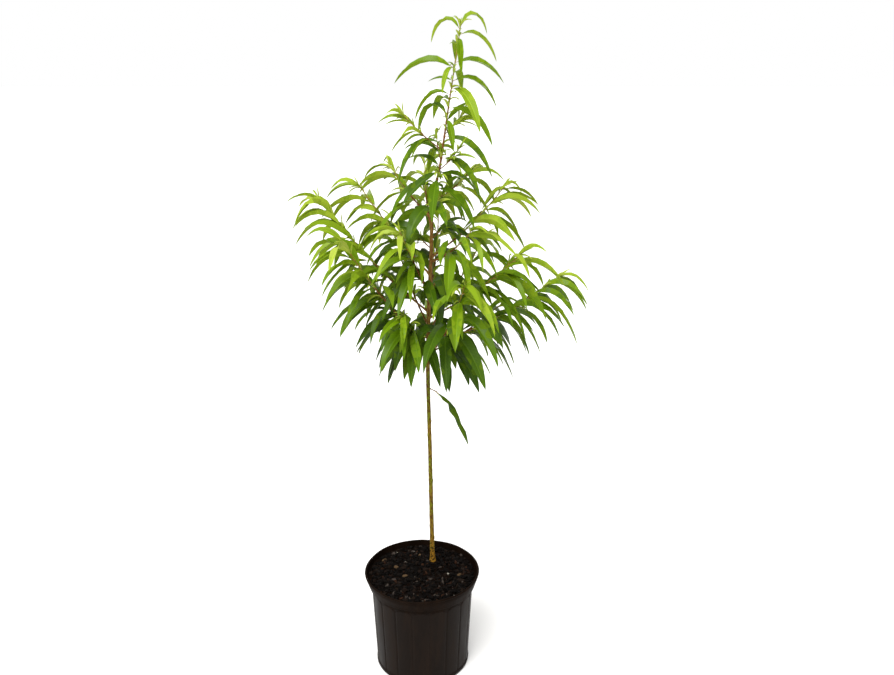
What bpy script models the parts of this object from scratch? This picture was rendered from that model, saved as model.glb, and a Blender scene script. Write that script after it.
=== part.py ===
# Dwarf peach tree in a black nursery pot, about 1.54 m tall with its pot.
# Metres, +Z up. The origin is the centre of the pot's flat underside, and -Y is the front.

import math
import random
from typing import NamedTuple

import bmesh
import bpy
from mathutils import Quaternion, Vector
from mathutils.bvhtree import BVHTree

UP = Vector((0.0, 0.0, 1.0))
CLEARANCE = 0.0003  # kept between solids that touch in life

# Pot: a thin turned shell with upright flutes, a flared collar and a slim rolled lip
POT_HEIGHT = 0.249
POT_SEGMENTS = 36
FLUTE_DEPTH = 0.0016
WALL = 0.0020
FLOOR = 0.0030
FOOT_RADIUS = 0.1110
WALL_FOOT_RADIUS = 0.1132
WALL_TOP_RADIUS = 0.1228
WALL_FOOT = 0.030
WALL_TOP = 0.204
COLLAR_RADIUS = 0.1300
COLLAR_FOOT = 0.219
COLLAR_TOP_RADIUS = 0.1370
LIP_RADIUS = 0.1395
LIP_FOOT = 0.2395
LIP_BEAD = 0.0028  # half the height of the rolled edge
DRAIN_HOLES = 6
DRAIN_RADIUS = 0.0055
DRAIN_CIRCLE = 0.088

# Potting mix: it fills the pot, and rises a little round the foot of the trunk
SOIL_EDGE = 0.2350
SOIL_INSET = 0.0029  # from the top of the collar's inner face
SOIL_PATCH_RADIUS = 0.014
SOIL_LUMP = 0.0022
SOIL_RINGS = (0.0, 0.14, 0.36, 0.66, 1.0)

# Trunk: height, x, y and diameter, from the flat cut at the soil to the foot of the leader
GROUND = 0.2410
TRUNK_SIDES = 8
TRUNK_COURSE = (
    (0.241, 0.0250, 0.050, 0.0172),
    (0.252, 0.0249, 0.050, 0.0136),
    (0.275, 0.0245, 0.050, 0.0112),
    (0.546, 0.0203, 0.050, 0.0098),
    (0.738, 0.0167, 0.050, 0.0094),
    (0.880, 0.0190, 0.049, 0.0092),
    (1.018, 0.0252, 0.048, 0.0086),
    (1.148, 0.0303, 0.046, 0.0062),
    (1.224, 0.0458, 0.045, 0.0050),
    (1.341, 0.0631, 0.043, 0.0034),
    (1.437, 0.0777, 0.041, 0.0025),
    (1.514, 0.0895, 0.040, 0.0016),
)
TRUNK_TOP = 1.165
RING_STEP = 0.040

# Limbs
BOUGH_SIDES = 6
TWIG_SIDES = 3
TWIG_TIP_RADIUS = 0.0009
LIMB_STEPS = 8

# Leaves: long blades that spring up from the twig and then arch over
LEAF_TURN = math.radians(144.0)  # two turns for each five leaves
# Where a blade has a cross-section, as a share of its length, and its width there
LONG_SECTIONS = ((0.24, 0.84), (0.50, 1.0), (0.76, 0.60))
LEAF_SECTIONS = ((0.34, 1.0), (0.70, 0.74))
SHORT_SECTIONS = ((0.46, 1.0),)
LEAF_THICKNESS = 0.012  # of its length
LEAF_FOLD = 0.22  # how far the edges stand above the midrib, as a share of the half width
LEAF_GAP = 0.0006
ROOT_SHARE = 0.42  # of the twig's radius, the size of a leaf's root inside it
STALK = 0.125  # share of a leaf that may lie against its own twig's other leaves
LONG_LEAF = 0.150
SHORT_LEAF = 0.055
OUTWARD = 0.38  # how far the leaves of a shoot lean the way that it heads
TRIES = (0.0, 16.0, -16.0, 32.0, -32.0, 50.0, -50.0, 72.0, -72.0)
LEAF_ROLL = 0.65  # radians, the most that a blade is rolled to one side
CROWN_FOOT = 0.702
# Height and the crown's radius there
CROWN_OUTLINE = (
    (0.700, 0.130), (0.780, 0.300), (0.860, 0.400), (0.960, 0.430), (1.080, 0.385),
    (1.180, 0.310), (1.260, 0.220), (1.360, 0.215), (1.560, 0.200),
)


class Shoot(NamedTuple):
    """One side shoot: where it leaves the trunk, where its tip is, and what it carries."""

    height: float  # of its foot on the trunk
    heading: float  # degrees, from +X towards +Y
    reach: float  # from the trunk to its tip, level
    lift: float  # from its foot to its tip
    bare: float  # share of its length that is a bare bough
    leaves: int
    leaf: float  # length of its longest leaves
    droop: float = 1.9  # how far they bend down
    phase: float = 0.0  # degrees, of its first leaf round the twig
    girth: float = 0.0042  # diameter at its foot
    bow: float = 0.022  # how far it bends to its left, as a share of its length
    lowest: float = CROWN_FOOT  # nothing on it hangs lower
    breadth: float = 0.20  # of its leaves, as a share of their length


SHOOTS = {
    "left_long": Shoot(0.892, 178, 0.238, 0.256, 0.17, 22, 0.142, 2.2, 20),
    "left_upper": Shoot(0.979, 163, 0.166, 0.194, 0.15, 17, 0.136, 2.1, 80, bow=-0.02),
    "left_high": Shoot(1.109, 150, 0.104, 0.104, 0.18, 10, 0.122, 2.0, 10),
    "left_front": Shoot(0.812, 207, 0.200, 0.262, 0.16, 21, 0.150, 2.3, 60, bow=-0.02),
    "left_low": Shoot(0.802, 154, 0.171, 0.172, 0.18, 15, 0.140, 2.4, 130),
    "front_left": Shoot(0.930, 236, 0.105, 0.165, 0.16, 13, 0.140, 2.2, 40),
    "right_upper": Shoot(1.020, 15, 0.168, 0.149, 0.24, 15, 0.138, 2.1, 30, bow=-0.02),
    "right_high": Shoot(1.140, 35, 0.104, 0.062, 0.18, 9, 0.120, 1.9, 100),
    "right_mid": Shoot(0.877, 335, 0.214, 0.167, 0.20, 18, 0.154, 2.4, 70),
    "right_long": Shoot(0.812, 6, 0.299, 0.153, 0.30, 19, 0.162, 2.6, 0, bow=-0.02),
    "right_inner": Shoot(1.009, 305, 0.150, 0.096, 0.18, 13, 0.138, 2.1, 150),
    "right_low": Shoot(0.790, 18, 0.172, 0.098, 0.18, 12, 0.142, 2.5, 45),
    "front_right": Shoot(0.785, 292, 0.212, 0.221, 0.20, 18, 0.158, 2.3, 90),
    "front_low": Shoot(0.806, 248, 0.128, 0.112, 0.18, 12, 0.136, 2.8, 22, bow=-0.02),
    "back_left": Shoot(0.860, 118, 0.195, 0.215, 0.16, 16, 0.144, 2.2, 50),
    "back_mid": Shoot(0.935, 84, 0.190, 0.195, 0.16, 15, 0.140, 2.1, 110, bow=-0.02),
    "back_right": Shoot(0.845, 50, 0.205, 0.185, 0.18, 16, 0.146, 2.3, 25),
    "back_low": Shoot(0.795, 92, 0.165, 0.095, 0.18, 12, 0.144, 2.4, 75, bow=-0.02),
    "back_high": Shoot(1.085, 98, 0.120, 0.125, 0.16, 11, 0.124, 2.0, 140),
}

# Short spurs and the skirt of old, broad leaves grow straight from the trunk
SPURS = {
    "spur_front": Shoot(1.120, 282, 0.022, 0.026, 0.0, 4, 0.122, 2.6, 0, 0.0030, breadth=0.23),
    "spur_right": Shoot(1.062, 340, 0.024, 0.024, 0.0, 4, 0.124, 2.3, 60, 0.0030, breadth=0.23),
    "spur_left": Shoot(1.040, 205, 0.024, 0.024, 0.0, 4, 0.128, 2.4, 120, 0.0030, breadth=0.24),
    "spur_back": Shoot(1.000, 70, 0.024, 0.022, 0.0, 4, 0.128, 2.3, 30, 0.0030, breadth=0.24),
    "spur_low_left": Shoot(0.955, 188, 0.026, 0.020, 0.0, 4, 0.136, 2.9, 90, 0.0032, breadth=0.26),
    "spur_low_front": Shoot(0.948, 300, 0.026, 0.020, 0.0, 4, 0.134, 2.9, 150, 0.0032, breadth=0.26),
    "skirt_left": Shoot(0.830, 222, 0.048, 0.020, 0.0, 8, 0.156, 3.8, 10, 0.0036, lowest=0.684, breadth=0.24),
    "skirt_right": Shoot(0.822, 316, 0.048, 0.018, 0.0, 8, 0.150, 3.7, 75, 0.0036, lowest=0.684, breadth=0.24),
    "skirt_back": Shoot(0.822, 66, 0.052, 0.022, 0.0, 8, 0.142, 3.2, 40, 0.0036, breadth=0.22),
    "low_leaf": Shoot(0.707, 350, 0.022, -0.010, 0.0, 1, 0.184, 2.85, 305, 0.0028, lowest=0.550, breadth=0.13),
}

# The leader carries its own leaves all round, and some side twigs
LEADER = Shoot(1.165, 0, 0.0, 0.347, 0.0, 0, 0.140)
# Height of its foot, heading and first rise in degrees, length, and how far it bends down
LEADER_LEAVES = (
    (1.508, 8, 66, 0.090, 2.3),
    (1.503, 178, 60, 0.094, 2.6),
    (1.493, 6, 24, 0.108, 2.6),
    (1.488, 275, -15, 0.096, 2.4),
    (1.470, 92, 34, 0.100, 2.2),
    (1.438, 2, 18, 0.120, 1.6),
    (1.427, 180, 30, 0.144, 1.6),
    (1.427, 235, 20, 0.075, 4.0),
    (1.415, 78, 20, 0.112, 2.0),
    (1.400, 5, 27, 0.126, 2.4),
    (1.402, 175, 22, 0.054, 0.9),
    (1.385, 308, 10, 0.138, 2.6),
    (1.372, 188, 32, 0.106, 2.8),
    (1.360, 112, 22, 0.116, 2.0),
    (1.352, 168, 56, 0.074, 1.0),
    (1.345, 350, 8, 0.134, 2.4),
    (1.330, 165, 60, 0.108, 2.9),
    (1.322, 285, -10, 0.086, 2.2),
    (1.318, 40, 40, 0.074, 0.4),
    (1.286, 338, 2, 0.146, 1.9),
    (1.300, 80, 15, 0.124, 2.0),
    (1.268, 198, 34, 0.158, 3.3),
    (1.250, 108, 18, 0.126, 2.0),
    (1.246, 168, 46, 0.094, 1.3),
    (1.240, 330, 8, 0.148, 2.8),
    (1.222, 150, 38, 0.092, 1.1),
    (1.212, 208, -18, 0.112, 0.9),
    (1.204, 72, 12, 0.128, 2.1),
    (1.200, 15, 22, 0.116, 2.0),
    (1.195, 262, -12, 0.116, 2.0),
    (1.180, 185, 20, 0.130, 2.4),
    (1.176, 345, 0, 0.136, 2.6),
)
LEADER_BREADTH = 0.20
LEADER_FACING = (0.30, 0.85)  # how far the upper side of a leaf turns to the front
LEADER_TWIGS = (
    Shoot(1.257, 190, 0.082, 0.074, 0.0, 8, 0.076, 1.5, 200, 0.0026),
    Shoot(1.290, 25, 0.040, 0.036, 0.0, 5, 0.054, 1.2, 60, 0.0020),
    Shoot(1.215, 320, 0.050, 0.044, 0.0, 6, 0.066, 1.4, 90, 0.0022),
    Shoot(1.235, 100, 0.055, 0.050, 0.0, 6, 0.066, 1.4, 20, 0.0022),
)

BARK_OLIVE = "#6e6526"
BARK_BROWN = "#76492a"
LEAF_GREENS = ("#5b8f1f", "#4f7f1c", "#6a9c26")
LEAF_DARK = "#3c6a15"
LEAF_YOUNG = "#7fa832"
POT_BLACK = "#231e1b"
SOIL_BROWN = "#2a1d14"


def linear(code):
    """The linear red, green and blue of an sRGB hex colour."""
    values = [int(code[i : i + 2], 16) / 255 for i in (1, 3, 5)]
    return [v / 12.92 if v <= 0.04045 else ((v + 0.055) / 1.055) ** 2.4 for v in values]


def finish(piece, colour, roughness):
    material = bpy.data.materials.new(f"{piece.name}_finish")
    material.use_nodes = True
    shader = material.node_tree.nodes["Principled BSDF"]
    shader.inputs["Base Color"].default_value = (*linear(colour), 1.0)
    shader.inputs["Roughness"].default_value = roughness
    shader.inputs["Metallic"].default_value = 0.0
    piece.data.materials.clear()
    piece.data.materials.append(material)
    return piece


def clear_scene():
    for piece in list(bpy.data.objects):
        bpy.data.objects.remove(piece, do_unlink=True)


def skin(name, rings):
    """A closed solid through rings of points, with a flat cap on the first and the last.

    A ring of one point is a tip.
    """
    work = bmesh.new()
    loops = [[work.verts.new(point) for point in ring] for ring in rings]
    for low, high in zip(loops, loops[1:]):
        for i in range(max(len(low), len(high))):
            j = i + 1
            corners = [low[i % len(low)], low[j % len(low)], high[j % len(high)], high[i % len(high)]]
            work.faces.new(list(dict.fromkeys(corners)))
    for cap in (loops[0], loops[-1]):
        if len(cap) > 2:
            work.faces.new(cap)
    bmesh.ops.recalc_face_normals(work, faces=work.faces)
    bmesh.ops.triangulate(work, faces=work.faces)
    mesh = bpy.data.meshes.new(name)
    work.to_mesh(mesh)
    work.free()
    piece = bpy.data.objects.new(name, mesh)
    bpy.context.scene.collection.objects.link(piece)
    return piece


def apply_boolean(piece, operation, other, solver="EXACT"):
    """Joins or cuts a piece with another object or a collection of them, and applies it."""
    modifier = piece.modifiers.new("joined", "BOOLEAN")
    modifier.operation = operation
    modifier.solver = solver
    if isinstance(other, bpy.types.Collection):
        modifier.operand_type = "COLLECTION"
        modifier.collection = other
    else:
        modifier.object = other
    bpy.context.view_layer.update()
    graph = bpy.context.evaluated_depsgraph_get()
    result = bpy.data.meshes.new_from_object(piece.evaluated_get(graph))
    piece.modifiers.clear()
    old = piece.data
    piece.data = result
    bpy.data.meshes.remove(old)


def shade_round(piece, angle=35.0):
    piece.data.shade_smooth()
    piece.data.set_sharp_from_angle(angle=math.radians(angle))


def read_table(table, key):
    """The values of a table at key, on a smooth curve through its rows."""
    keys = [row[0] for row in table]
    rows = [Vector(row[1:]) for row in table]
    last = len(rows) - 1

    def slope(i):
        low, high = max(i - 1, 0), min(i + 1, last)
        return (rows[high] - rows[low]) / (keys[high] - keys[low])

    i = max(0, min(last - 1, sum(1 for k in keys[1:] if k <= key)))
    span = keys[i + 1] - keys[i]
    t = (key - keys[i]) / span
    start, end = slope(i) * span, slope(i + 1) * span
    return (
        rows[i] * (2 * t**3 - 3 * t**2 + 1)
        + start * (t**3 - 2 * t**2 + t)
        + rows[i + 1] * (3 * t**2 - 2 * t**3)
        + end * (t**3 - t**2)
    )


def trunk_at(height):
    """The middle of the trunk or leader at a height, and its radius there."""
    x, y, diameter = read_table(TRUNK_COURSE, height)
    return Vector((x, y, height)), diameter / 2


def crown_radius(height):
    for (low, a), (high, b) in zip(CROWN_OUTLINE, CROWN_OUTLINE[1:]):
        if height <= high:
            return a + (b - a) * max(0.0, (height - low) / (high - low))
    return CROWN_OUTLINE[-1][1]


# Pot and potting mix


def circle(radius, height, groove=0.0, centre=(0.0, 0.0)):
    """One ring of the pot, with every second point set in by the groove."""
    points = []
    for i in range(POT_SEGMENTS):
        angle = 2 * math.pi * i / POT_SEGMENTS
        r = radius - groove * (i % 2)
        points.append(Vector((centre[0] + r * math.cos(angle), centre[1] + r * math.sin(angle), height)))
    return points


def lip_rings():
    """The rolled edge, as an arc from under the lip to its inner side."""
    middle = POT_HEIGHT - LIP_BEAD
    rings = []
    for degrees in (-50, 0, 50, 90, 150):
        angle = math.radians(degrees)
        radius = LIP_RADIUS - LIP_BEAD * (1 - math.cos(angle))
        rings.append(circle(radius, middle + LIP_BEAD * math.sin(angle)))
    return rings


def make_pot():
    inner_collar = COLLAR_RADIUS - WALL
    inner_top = WALL_TOP_RADIUS - FLUTE_DEPTH - WALL
    inner_foot = WALL_FOOT_RADIUS - FLUTE_DEPTH - WALL
    rings = [
        circle(FOOT_RADIUS, 0.0),
        circle(WALL_FOOT_RADIUS + 0.0012, 0.004),
        circle(WALL_FOOT_RADIUS + 0.0016, WALL_FOOT - 0.004),
        circle(WALL_FOOT_RADIUS, WALL_FOOT, FLUTE_DEPTH),
        circle(WALL_TOP_RADIUS, WALL_TOP, FLUTE_DEPTH),
        circle(WALL_TOP_RADIUS + 0.0010, COLLAR_FOOT - 0.004),
        circle(COLLAR_RADIUS, COLLAR_FOOT),
        circle(COLLAR_TOP_RADIUS, LIP_FOOT),
        *lip_rings(),
        circle(COLLAR_TOP_RADIUS - WALL, LIP_FOOT),
        circle(inner_collar, COLLAR_FOOT + 0.001),
        circle(inner_top, COLLAR_FOOT - 0.005),
        circle(inner_foot, FLOOR),
    ]
    pot = skin("pot", rings)
    holes = bpy.data.collections.new("drain_holes")
    bpy.context.scene.collection.children.link(holes)
    for i in range(DRAIN_HOLES):
        angle = 2 * math.pi * (i + 0.5) / DRAIN_HOLES
        x, y = DRAIN_CIRCLE * math.cos(angle), DRAIN_CIRCLE * math.sin(angle)
        hole = skin(f"drain_{i}", [drain_ring(x, y, -0.002), drain_ring(x, y, FLOOR + 0.002)])
        move_to(hole, holes)
    apply_boolean(pot, "DIFFERENCE", holes)
    remove_collection(holes)
    shade_round(pot, 30.0)
    return finish(pot, POT_BLACK, 0.42)


def drain_ring(x, y, height, sides=8):
    angles = [2 * math.pi * i / sides for i in range(sides)]
    return [
        Vector((x + DRAIN_RADIUS * math.cos(a), y + DRAIN_RADIUS * math.sin(a), height)) for a in angles
    ]


def make_soil():
    """The potting mix: straight sides a little clear of the pot, and a lumpy mounded top."""
    chance = random.Random(11)
    inner_top = WALL_TOP_RADIUS - FLUTE_DEPTH - WALL - CLEARANCE
    inner_foot = WALL_FOOT_RADIUS - FLUTE_DEPTH - WALL - CLEARANCE
    edge_radius = COLLAR_TOP_RADIUS - WALL - SOIL_INSET
    rings = [
        circle(inner_foot, FLOOR + CLEARANCE),
        circle(inner_top - 0.0003, COLLAR_FOOT - 0.0055),
        circle(COLLAR_RADIUS - WALL - 0.0014, COLLAR_FOOT + 0.0022),
    ]
    foot, _ = trunk_at(GROUND)
    for share in reversed(SOIL_RINGS):
        centre = foot.xy * (1 - share)
        radius = SOIL_PATCH_RADIUS + (edge_radius - SOIL_PATCH_RADIUS) * share
        height = GROUND - CLEARANCE - (GROUND - SOIL_EDGE) * share**0.8
        ring = circle(radius, height, 0.0, centre)
        if share:
            for point in ring:
                point.z += chance.uniform(-SOIL_LUMP, SOIL_LUMP)
        rings.append(ring)
    return finish(skin("potting_mix", rings), SOIL_BROWN, 0.95)


# Limbs


def frame_across(direction, hint=UP):
    """Two directions square to a third: one level, and one as near up as it can be."""
    side = direction.cross(hint)
    if side.length < 1e-6:
        side = Vector((1.0, 0.0, 0.0))
    side.normalize()
    return side, side.cross(direction).normalized()


def tube(name, centres, radii, sides, level_foot=False):
    """A tapering limb through its centres, cut square at both ends."""
    rings = []
    side = Vector((1.0, 0.0, 0.0))
    for i, (centre, radius) in enumerate(zip(centres, radii)):
        ahead = centres[min(i + 1, len(centres) - 1)] - centres[max(i - 1, 0)]
        ahead = UP if level_foot and i == 0 else ahead.normalized()
        across = ahead.cross(side).normalized()
        side = across.cross(ahead).normalized()
        angles = [2 * math.pi * k / sides for k in range(sides)]
        rings.append([centre + (side * math.cos(a) + across * math.sin(a)) * radius for a in angles])
    return skin(name, rings)


def make_trunk(name, spare=0.0):
    """The trunk, or with some spare the cutter that keeps its limbs clear of it."""
    steps = math.ceil((TRUNK_TOP - GROUND) / RING_STEP)
    heights = [GROUND, 0.2430, 0.2520, 0.2650]
    heights += [GROUND + (TRUNK_TOP - GROUND) * i / steps for i in range(2, steps + 1)]
    centres, radii = zip(*(trunk_at(height) for height in heights))
    return tube(name, centres, [radius + spare for radius in radii], TRUNK_SIDES, level_foot=True)


def shoot_point(shoot, share):
    """A point on a side shoot: it sags a little below the straight line, then turns up."""
    foot, _ = trunk_at(shoot.height)
    heading = math.radians(shoot.heading)
    ahead = Vector((math.cos(heading), math.sin(heading), 0.0))
    side = Vector((-ahead.y, ahead.x, 0.0))
    length = math.hypot(shoot.reach, shoot.lift)
    bow = 4 * share * (1 - share) * length
    return (
        foot
        + ahead * (shoot.reach * share)
        + UP * (shoot.lift * share - 0.045 * bow)
        + side * (shoot.bow * bow)
    )


def shoot_ahead(shoot, share):
    step = 0.01
    return (shoot_point(shoot, share + step) - shoot_point(shoot, share - step)).normalized()


def shoot_radius(shoot, share):
    return TWIG_TIP_RADIUS + (shoot.girth / 2 - TWIG_TIP_RADIUS) * max(0.0, 1 - share) ** 0.8


def limb(name, shoot, start, end, sides, fatten=1.0):
    steps = max(3, round(LIMB_STEPS * (end - start)))
    shares = [start + (end - start) * i / steps for i in range(steps + 1)]
    centres = [shoot_point(shoot, share) for share in shares]
    radii = [shoot_radius(shoot, share) * fatten for share in shares]
    return tube(name, centres, radii, sides)


# Leaves


class Leaf(NamedTuple):
    """One leaf: where it is rooted, how it starts out, and its size."""

    root: Vector
    ahead: Vector
    across: Vector
    length: float
    width: float
    droop: float


def leaf_size(share):
    """A leaf's length along its shoot, as a share of the longest."""
    if share < 0.45:
        return 0.86 + 0.31 * share
    return 1.0 - 0.38 * ((share - 0.45) / 0.55) ** 6


def leaf_at(root, stem, heading, share, turn, shoot, chance):
    """The leaf rule, for a leaf at a share of its shoot's length and at a turn round it."""
    side, top = frame_across(stem)
    spread = math.radians(60 - 30 * share + chance.uniform(-14, 14))
    outward = side * math.cos(turn) + top * math.sin(turn)
    ahead = stem * math.cos(spread) + outward * math.sin(spread) + heading * OUTWARD
    level = Vector((ahead.x, ahead.y, 0.0))
    if level.length < 0.35:
        ahead += (heading + outward * 0.2) * 0.35
    ahead.normalize()
    across = stem.cross(ahead)
    if across.length < 0.15:
        across = ahead.cross(UP)
    if across.cross(ahead).dot(stem) < 0:
        across.negate()
    length = shoot.leaf * leaf_size(share) * chance.uniform(0.80, 1.10)
    width = length * shoot.breadth * chance.uniform(0.92, 1.08)
    bend = shoot.droop * (1 - 0.25 * share) + chance.uniform(-0.45, 0.45)
    across = Quaternion(ahead, chance.uniform(-LEAF_ROLL, LEAF_ROLL)) @ across.normalized()
    return Leaf(root, ahead, across, length, width, bend)


def leader_leaf(row, index):
    """One of the leader's leaves, its upper side turned a little to the front."""
    height, heading, rise, length, droop = row
    root, _ = trunk_at(height)
    chance = random.Random(100 + index)
    heading, rise = math.radians(heading), math.radians(rise)
    level = Vector((math.cos(heading), math.sin(heading), 0.0))
    ahead = level * math.cos(rise) + UP * math.sin(rise)
    across = ahead.cross(UP - Vector((0.0, 1.0, 0.0)) * chance.uniform(*LEADER_FACING)).normalized()
    return Leaf(root, ahead, across, length, length * LEADER_BREADTH * chance.uniform(0.92, 1.08), droop)


def leaf_frames(leaf, shares):
    """The midrib's points at some shares of a leaf's length, each with its two cross directions."""
    steps = 24
    point = leaf.root.copy()
    frames = []
    level = leaf.ahead.cross(UP).normalized()
    if level.dot(leaf.across) < 0:
        level.negate()
    for i in range(steps + 1):
        share = i / steps
        ahead = (leaf.ahead - UP * (leaf.droop * share)).normalized()
        across = leaf.across.lerp(level, 0.35 * share)
        across = (across - ahead * across.dot(ahead)).normalized()
        frames.append((point.copy(), across, across.cross(ahead)))
        point += ahead * (leaf.length / steps)
    return [frames[round(share * steps)] for share in shares]


def leaf_rings(leaf, root_radius, spare=0.0):
    """A blade's cross-sections: two edges and a keel, from a root inside the twig to a point."""
    sections = LEAF_SECTIONS
    if leaf.length > LONG_LEAF:
        sections = LONG_SECTIONS
    elif leaf.length < SHORT_LEAF:
        sections = SHORT_SECTIONS
    frames = leaf_frames(leaf, [0.0] + [share for share, _ in sections] + [1.0])
    root, across, over = frames[0]
    rings = [[root + across * root_radius, root - across * root_radius, root - over * root_radius]]
    for (point, across, over), (_, width) in zip(frames[1:-1], sections):
        half = leaf.width * width / 2 + spare
        thick = max(LEAF_THICKNESS * leaf.length, 0.0008) + spare
        edge = over * (half * LEAF_FOLD + spare)
        rings.append([point + across * half + edge, point - across * half + edge, point - over * thick])
    tip, _, over = frames[-1]
    rings.append([tip])
    return rings


def surface(rings):
    """The same shape as skin, as a search tree for the tests of what touches what."""
    points, faces = [], []
    for low, high in zip(rings, rings[1:]):
        base = len(points)
        points += low + high
        for i in range(len(low)):
            j = (i + 1) % len(low)
            if len(high) == 1:
                faces.append((base + i, base + j, base + len(low)))
            else:
                faces.append((base + i, base + j, base + len(low) + j, base + len(low) + i))
    return BVHTree.FromPolygons(points, faces)


class Space:
    """What the crown holds so far, so that no new leaf is let through it."""

    def __init__(self):
        self.held = []

    def add_piece(self, owner, piece):
        points = [vertex.co.copy() for vertex in piece.data.vertices]
        faces = [tuple(face.vertices) for face in piece.data.polygons]
        self.add(owner, points, BVHTree.FromPolygons(points, faces))

    def add(self, owner, points, tree):
        low = Vector([min(point[k] for point in points) for k in range(3)])
        high = Vector([max(point[k] for point in points) for k in range(3)])
        self.held.append((owner, low, high, tree))

    def takes(self, owner, whole, blade, lowest):
        """Whether a leaf touches nothing: its blade is kept off its own twig's leaves, all of it off the rest."""
        points = [point for ring in whole for point in ring]
        low = [min(point[k] for point in points) for k in range(3)]
        high = [max(point[k] for point in points) for k in range(3)]
        if low[2] < lowest or any(point.xy.length > crown_radius(point.z) for point in points):
            return False
        whole_tree, blade_tree = surface(whole), surface(blade)
        for other, lower, upper, held in self.held:
            if other == f"{owner} twig" or any(low[k] > upper[k] or high[k] < lower[k] for k in range(3)):
                continue
            tree = blade_tree if other == owner else whole_tree
            if tree.overlap(held):
                return False
        return True


def move_to(piece, collection):
    for holder in list(piece.users_collection):
        holder.objects.unlink(piece)
    collection.objects.link(piece)


def remove_collection(collection):
    for piece in list(collection.objects):
        bpy.data.objects.remove(piece, do_unlink=True)
    bpy.data.collections.remove(collection)


def clean_mass(piece):
    """Merges the faces that joining split, and drops the loose scraps and sealed hollows that it left."""
    work = bmesh.new()
    work.from_mesh(piece.data)
    bmesh.ops.dissolve_limit(
        work, angle_limit=math.radians(1.5), use_dissolve_boundaries=False, verts=work.verts,
        edges=work.edges,
    )
    bmesh.ops.triangulate(work, faces=work.faces)
    left = set(work.verts)
    groups = []
    while left:
        group, edge = set(), [left.pop()]
        while edge:
            vertex = edge.pop()
            group.add(vertex)
            near = {link.other_vert(vertex) for link in vertex.link_edges} & left
            left -= near
            edge += near
        groups.append(group)
    groups.sort(key=len)
    for group in groups[:-1]:
        bmesh.ops.delete(work, geom=list(group), context="VERTS")
    work.to_mesh(piece.data)
    work.free()


def place_leaf(space, name, leaf, root_radius, lowest):
    """Makes a leaf's solid if there is room for it, or returns nothing."""
    whole = leaf_rings(leaf, root_radius, LEAF_GAP)
    start = leaf_frames(leaf, [STALK])[0][0] - leaf.root
    blade = [[point + start for point in whole[0]], *whole[1:]]
    if not space.takes(name, whole, blade, lowest):
        return None
    solid = skin(f"{name}_leaf", leaf_rings(leaf, root_radius))
    space.add(name, [point for ring in whole for point in ring], surface(whole))
    return solid


def grow_leader_leaves(space):
    leaves = []
    for index, row in enumerate(LEADER_LEAVES):
        _, radius = trunk_at(row[0])
        solid = place_leaf(space, "leader", leader_leaf(row, index), radius * 1.2 * ROOT_SHARE, CROWN_FOOT)
        if solid:
            leaves.append(solid)
    print("leader", len(leaves), "of", len(LEADER_LEAVES), "leaves")
    return leaves


def grow_leaves(space, name, shoot, first, stem_at, seed):
    """The leaves of one twig, each turned about it until it finds room, or left out."""
    leaves = []
    heading = shoot_heading(shoot)
    for i in range(shoot.leaves):
        share = first + (0.985 - first) * (i + 0.35) / (shoot.leaves - 0.4)
        point, ahead, radius = stem_at(min(share, 0.985))
        for extra in TRIES:
            chance = random.Random(1000 * seed + i)
            turn = math.radians(shoot.phase + extra) + i * LEAF_TURN + chance.uniform(-0.2, 0.2)
            leaf = leaf_at(point, ahead, heading, share, turn, shoot, chance)
            solid = place_leaf(space, name, leaf, radius * ROOT_SHARE, shoot.lowest)
            if solid:
                leaves.append(solid)
                break
    return leaves


def is_closed(mesh):
    work = bmesh.new()
    work.from_mesh(mesh)
    closed = all(len(edge.link_faces) == 2 for edge in work.edges)
    work.free()
    return closed


def join_mass(stem, leaves):
    """One Boolean union of a stem with all its leaves, by the second solver where the first leaves a gap."""
    group = bpy.data.collections.new("joined_leaves")
    bpy.context.scene.collection.children.link(group)
    for leaf in leaves:
        move_to(leaf, group)
    if not leaves:
        remove_collection(group)
        return stem
    bare = stem.data.copy()
    apply_boolean(stem, "UNION", group)
    if not is_closed(stem.data):
        stem.data = bare
        apply_boolean(stem, "UNION", group, "MANIFOLD")
    remove_collection(group)
    clean_mass(stem)
    return stem


def shoot_heading(shoot):
    if not shoot.reach:
        return Vector((0.0, 0.0, 0.0))
    angle = math.radians(shoot.heading)
    return Vector((math.cos(angle), math.sin(angle), 0.0))


def shoot_stem(shoot):
    def stem_at(share):
        return shoot_point(shoot, share), shoot_ahead(shoot, share), shoot_radius(shoot, share) * 1.35

    return stem_at


def leader_stem(share):
    """A point of the leader, with a straight fall in radius towards its tip."""
    height = TRUNK_TOP + LEADER.lift * share
    point, radius = trunk_at(height)
    above, _ = trunk_at(height + 0.001)
    return point, (above - point).normalized(), radius * 1.2


def make_limbs(cutter):
    """Every bare bough and every twig, before any leaf, so that the leaves can keep clear of them."""
    boughs, stems = {}, {}
    for name, shoot in SHOOTS.items():
        bough = limb(f"bough_{name}", shoot, 0.0, shoot.bare, BOUGH_SIDES)
        apply_boolean(bough, "DIFFERENCE", cutter)
        shade_round(bough)
        boughs[name] = finish(bough, BARK_BROWN, 0.6)
        length = math.hypot(shoot.reach, shoot.lift)
        stems[name] = limb(
            f"foliage_{name}", shoot, shoot.bare + CLEARANCE / length, 1.0, TWIG_SIDES, 1.35
        )
    for name, spur in SPURS.items():
        stems[name] = limb(f"foliage_{name}", spur, 0.0, 1.0, TWIG_SIDES, 1.35)
        apply_boolean(stems[name], "DIFFERENCE", cutter)
    return boughs, stems


def make_leader_stem():
    steps = 14
    shares = [i / steps for i in range(steps + 1)]
    shares[0] = CLEARANCE / LEADER.lift
    centres, _, radii = zip(*(leader_stem(share) for share in shares))
    return tube("foliage_leader", centres, radii, TWIG_SIDES + 1)


def mass_colour(name, index):
    if name in SPURS:
        return LEAF_DARK
    return LEAF_GREENS[index % len(LEAF_GREENS)]


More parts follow.
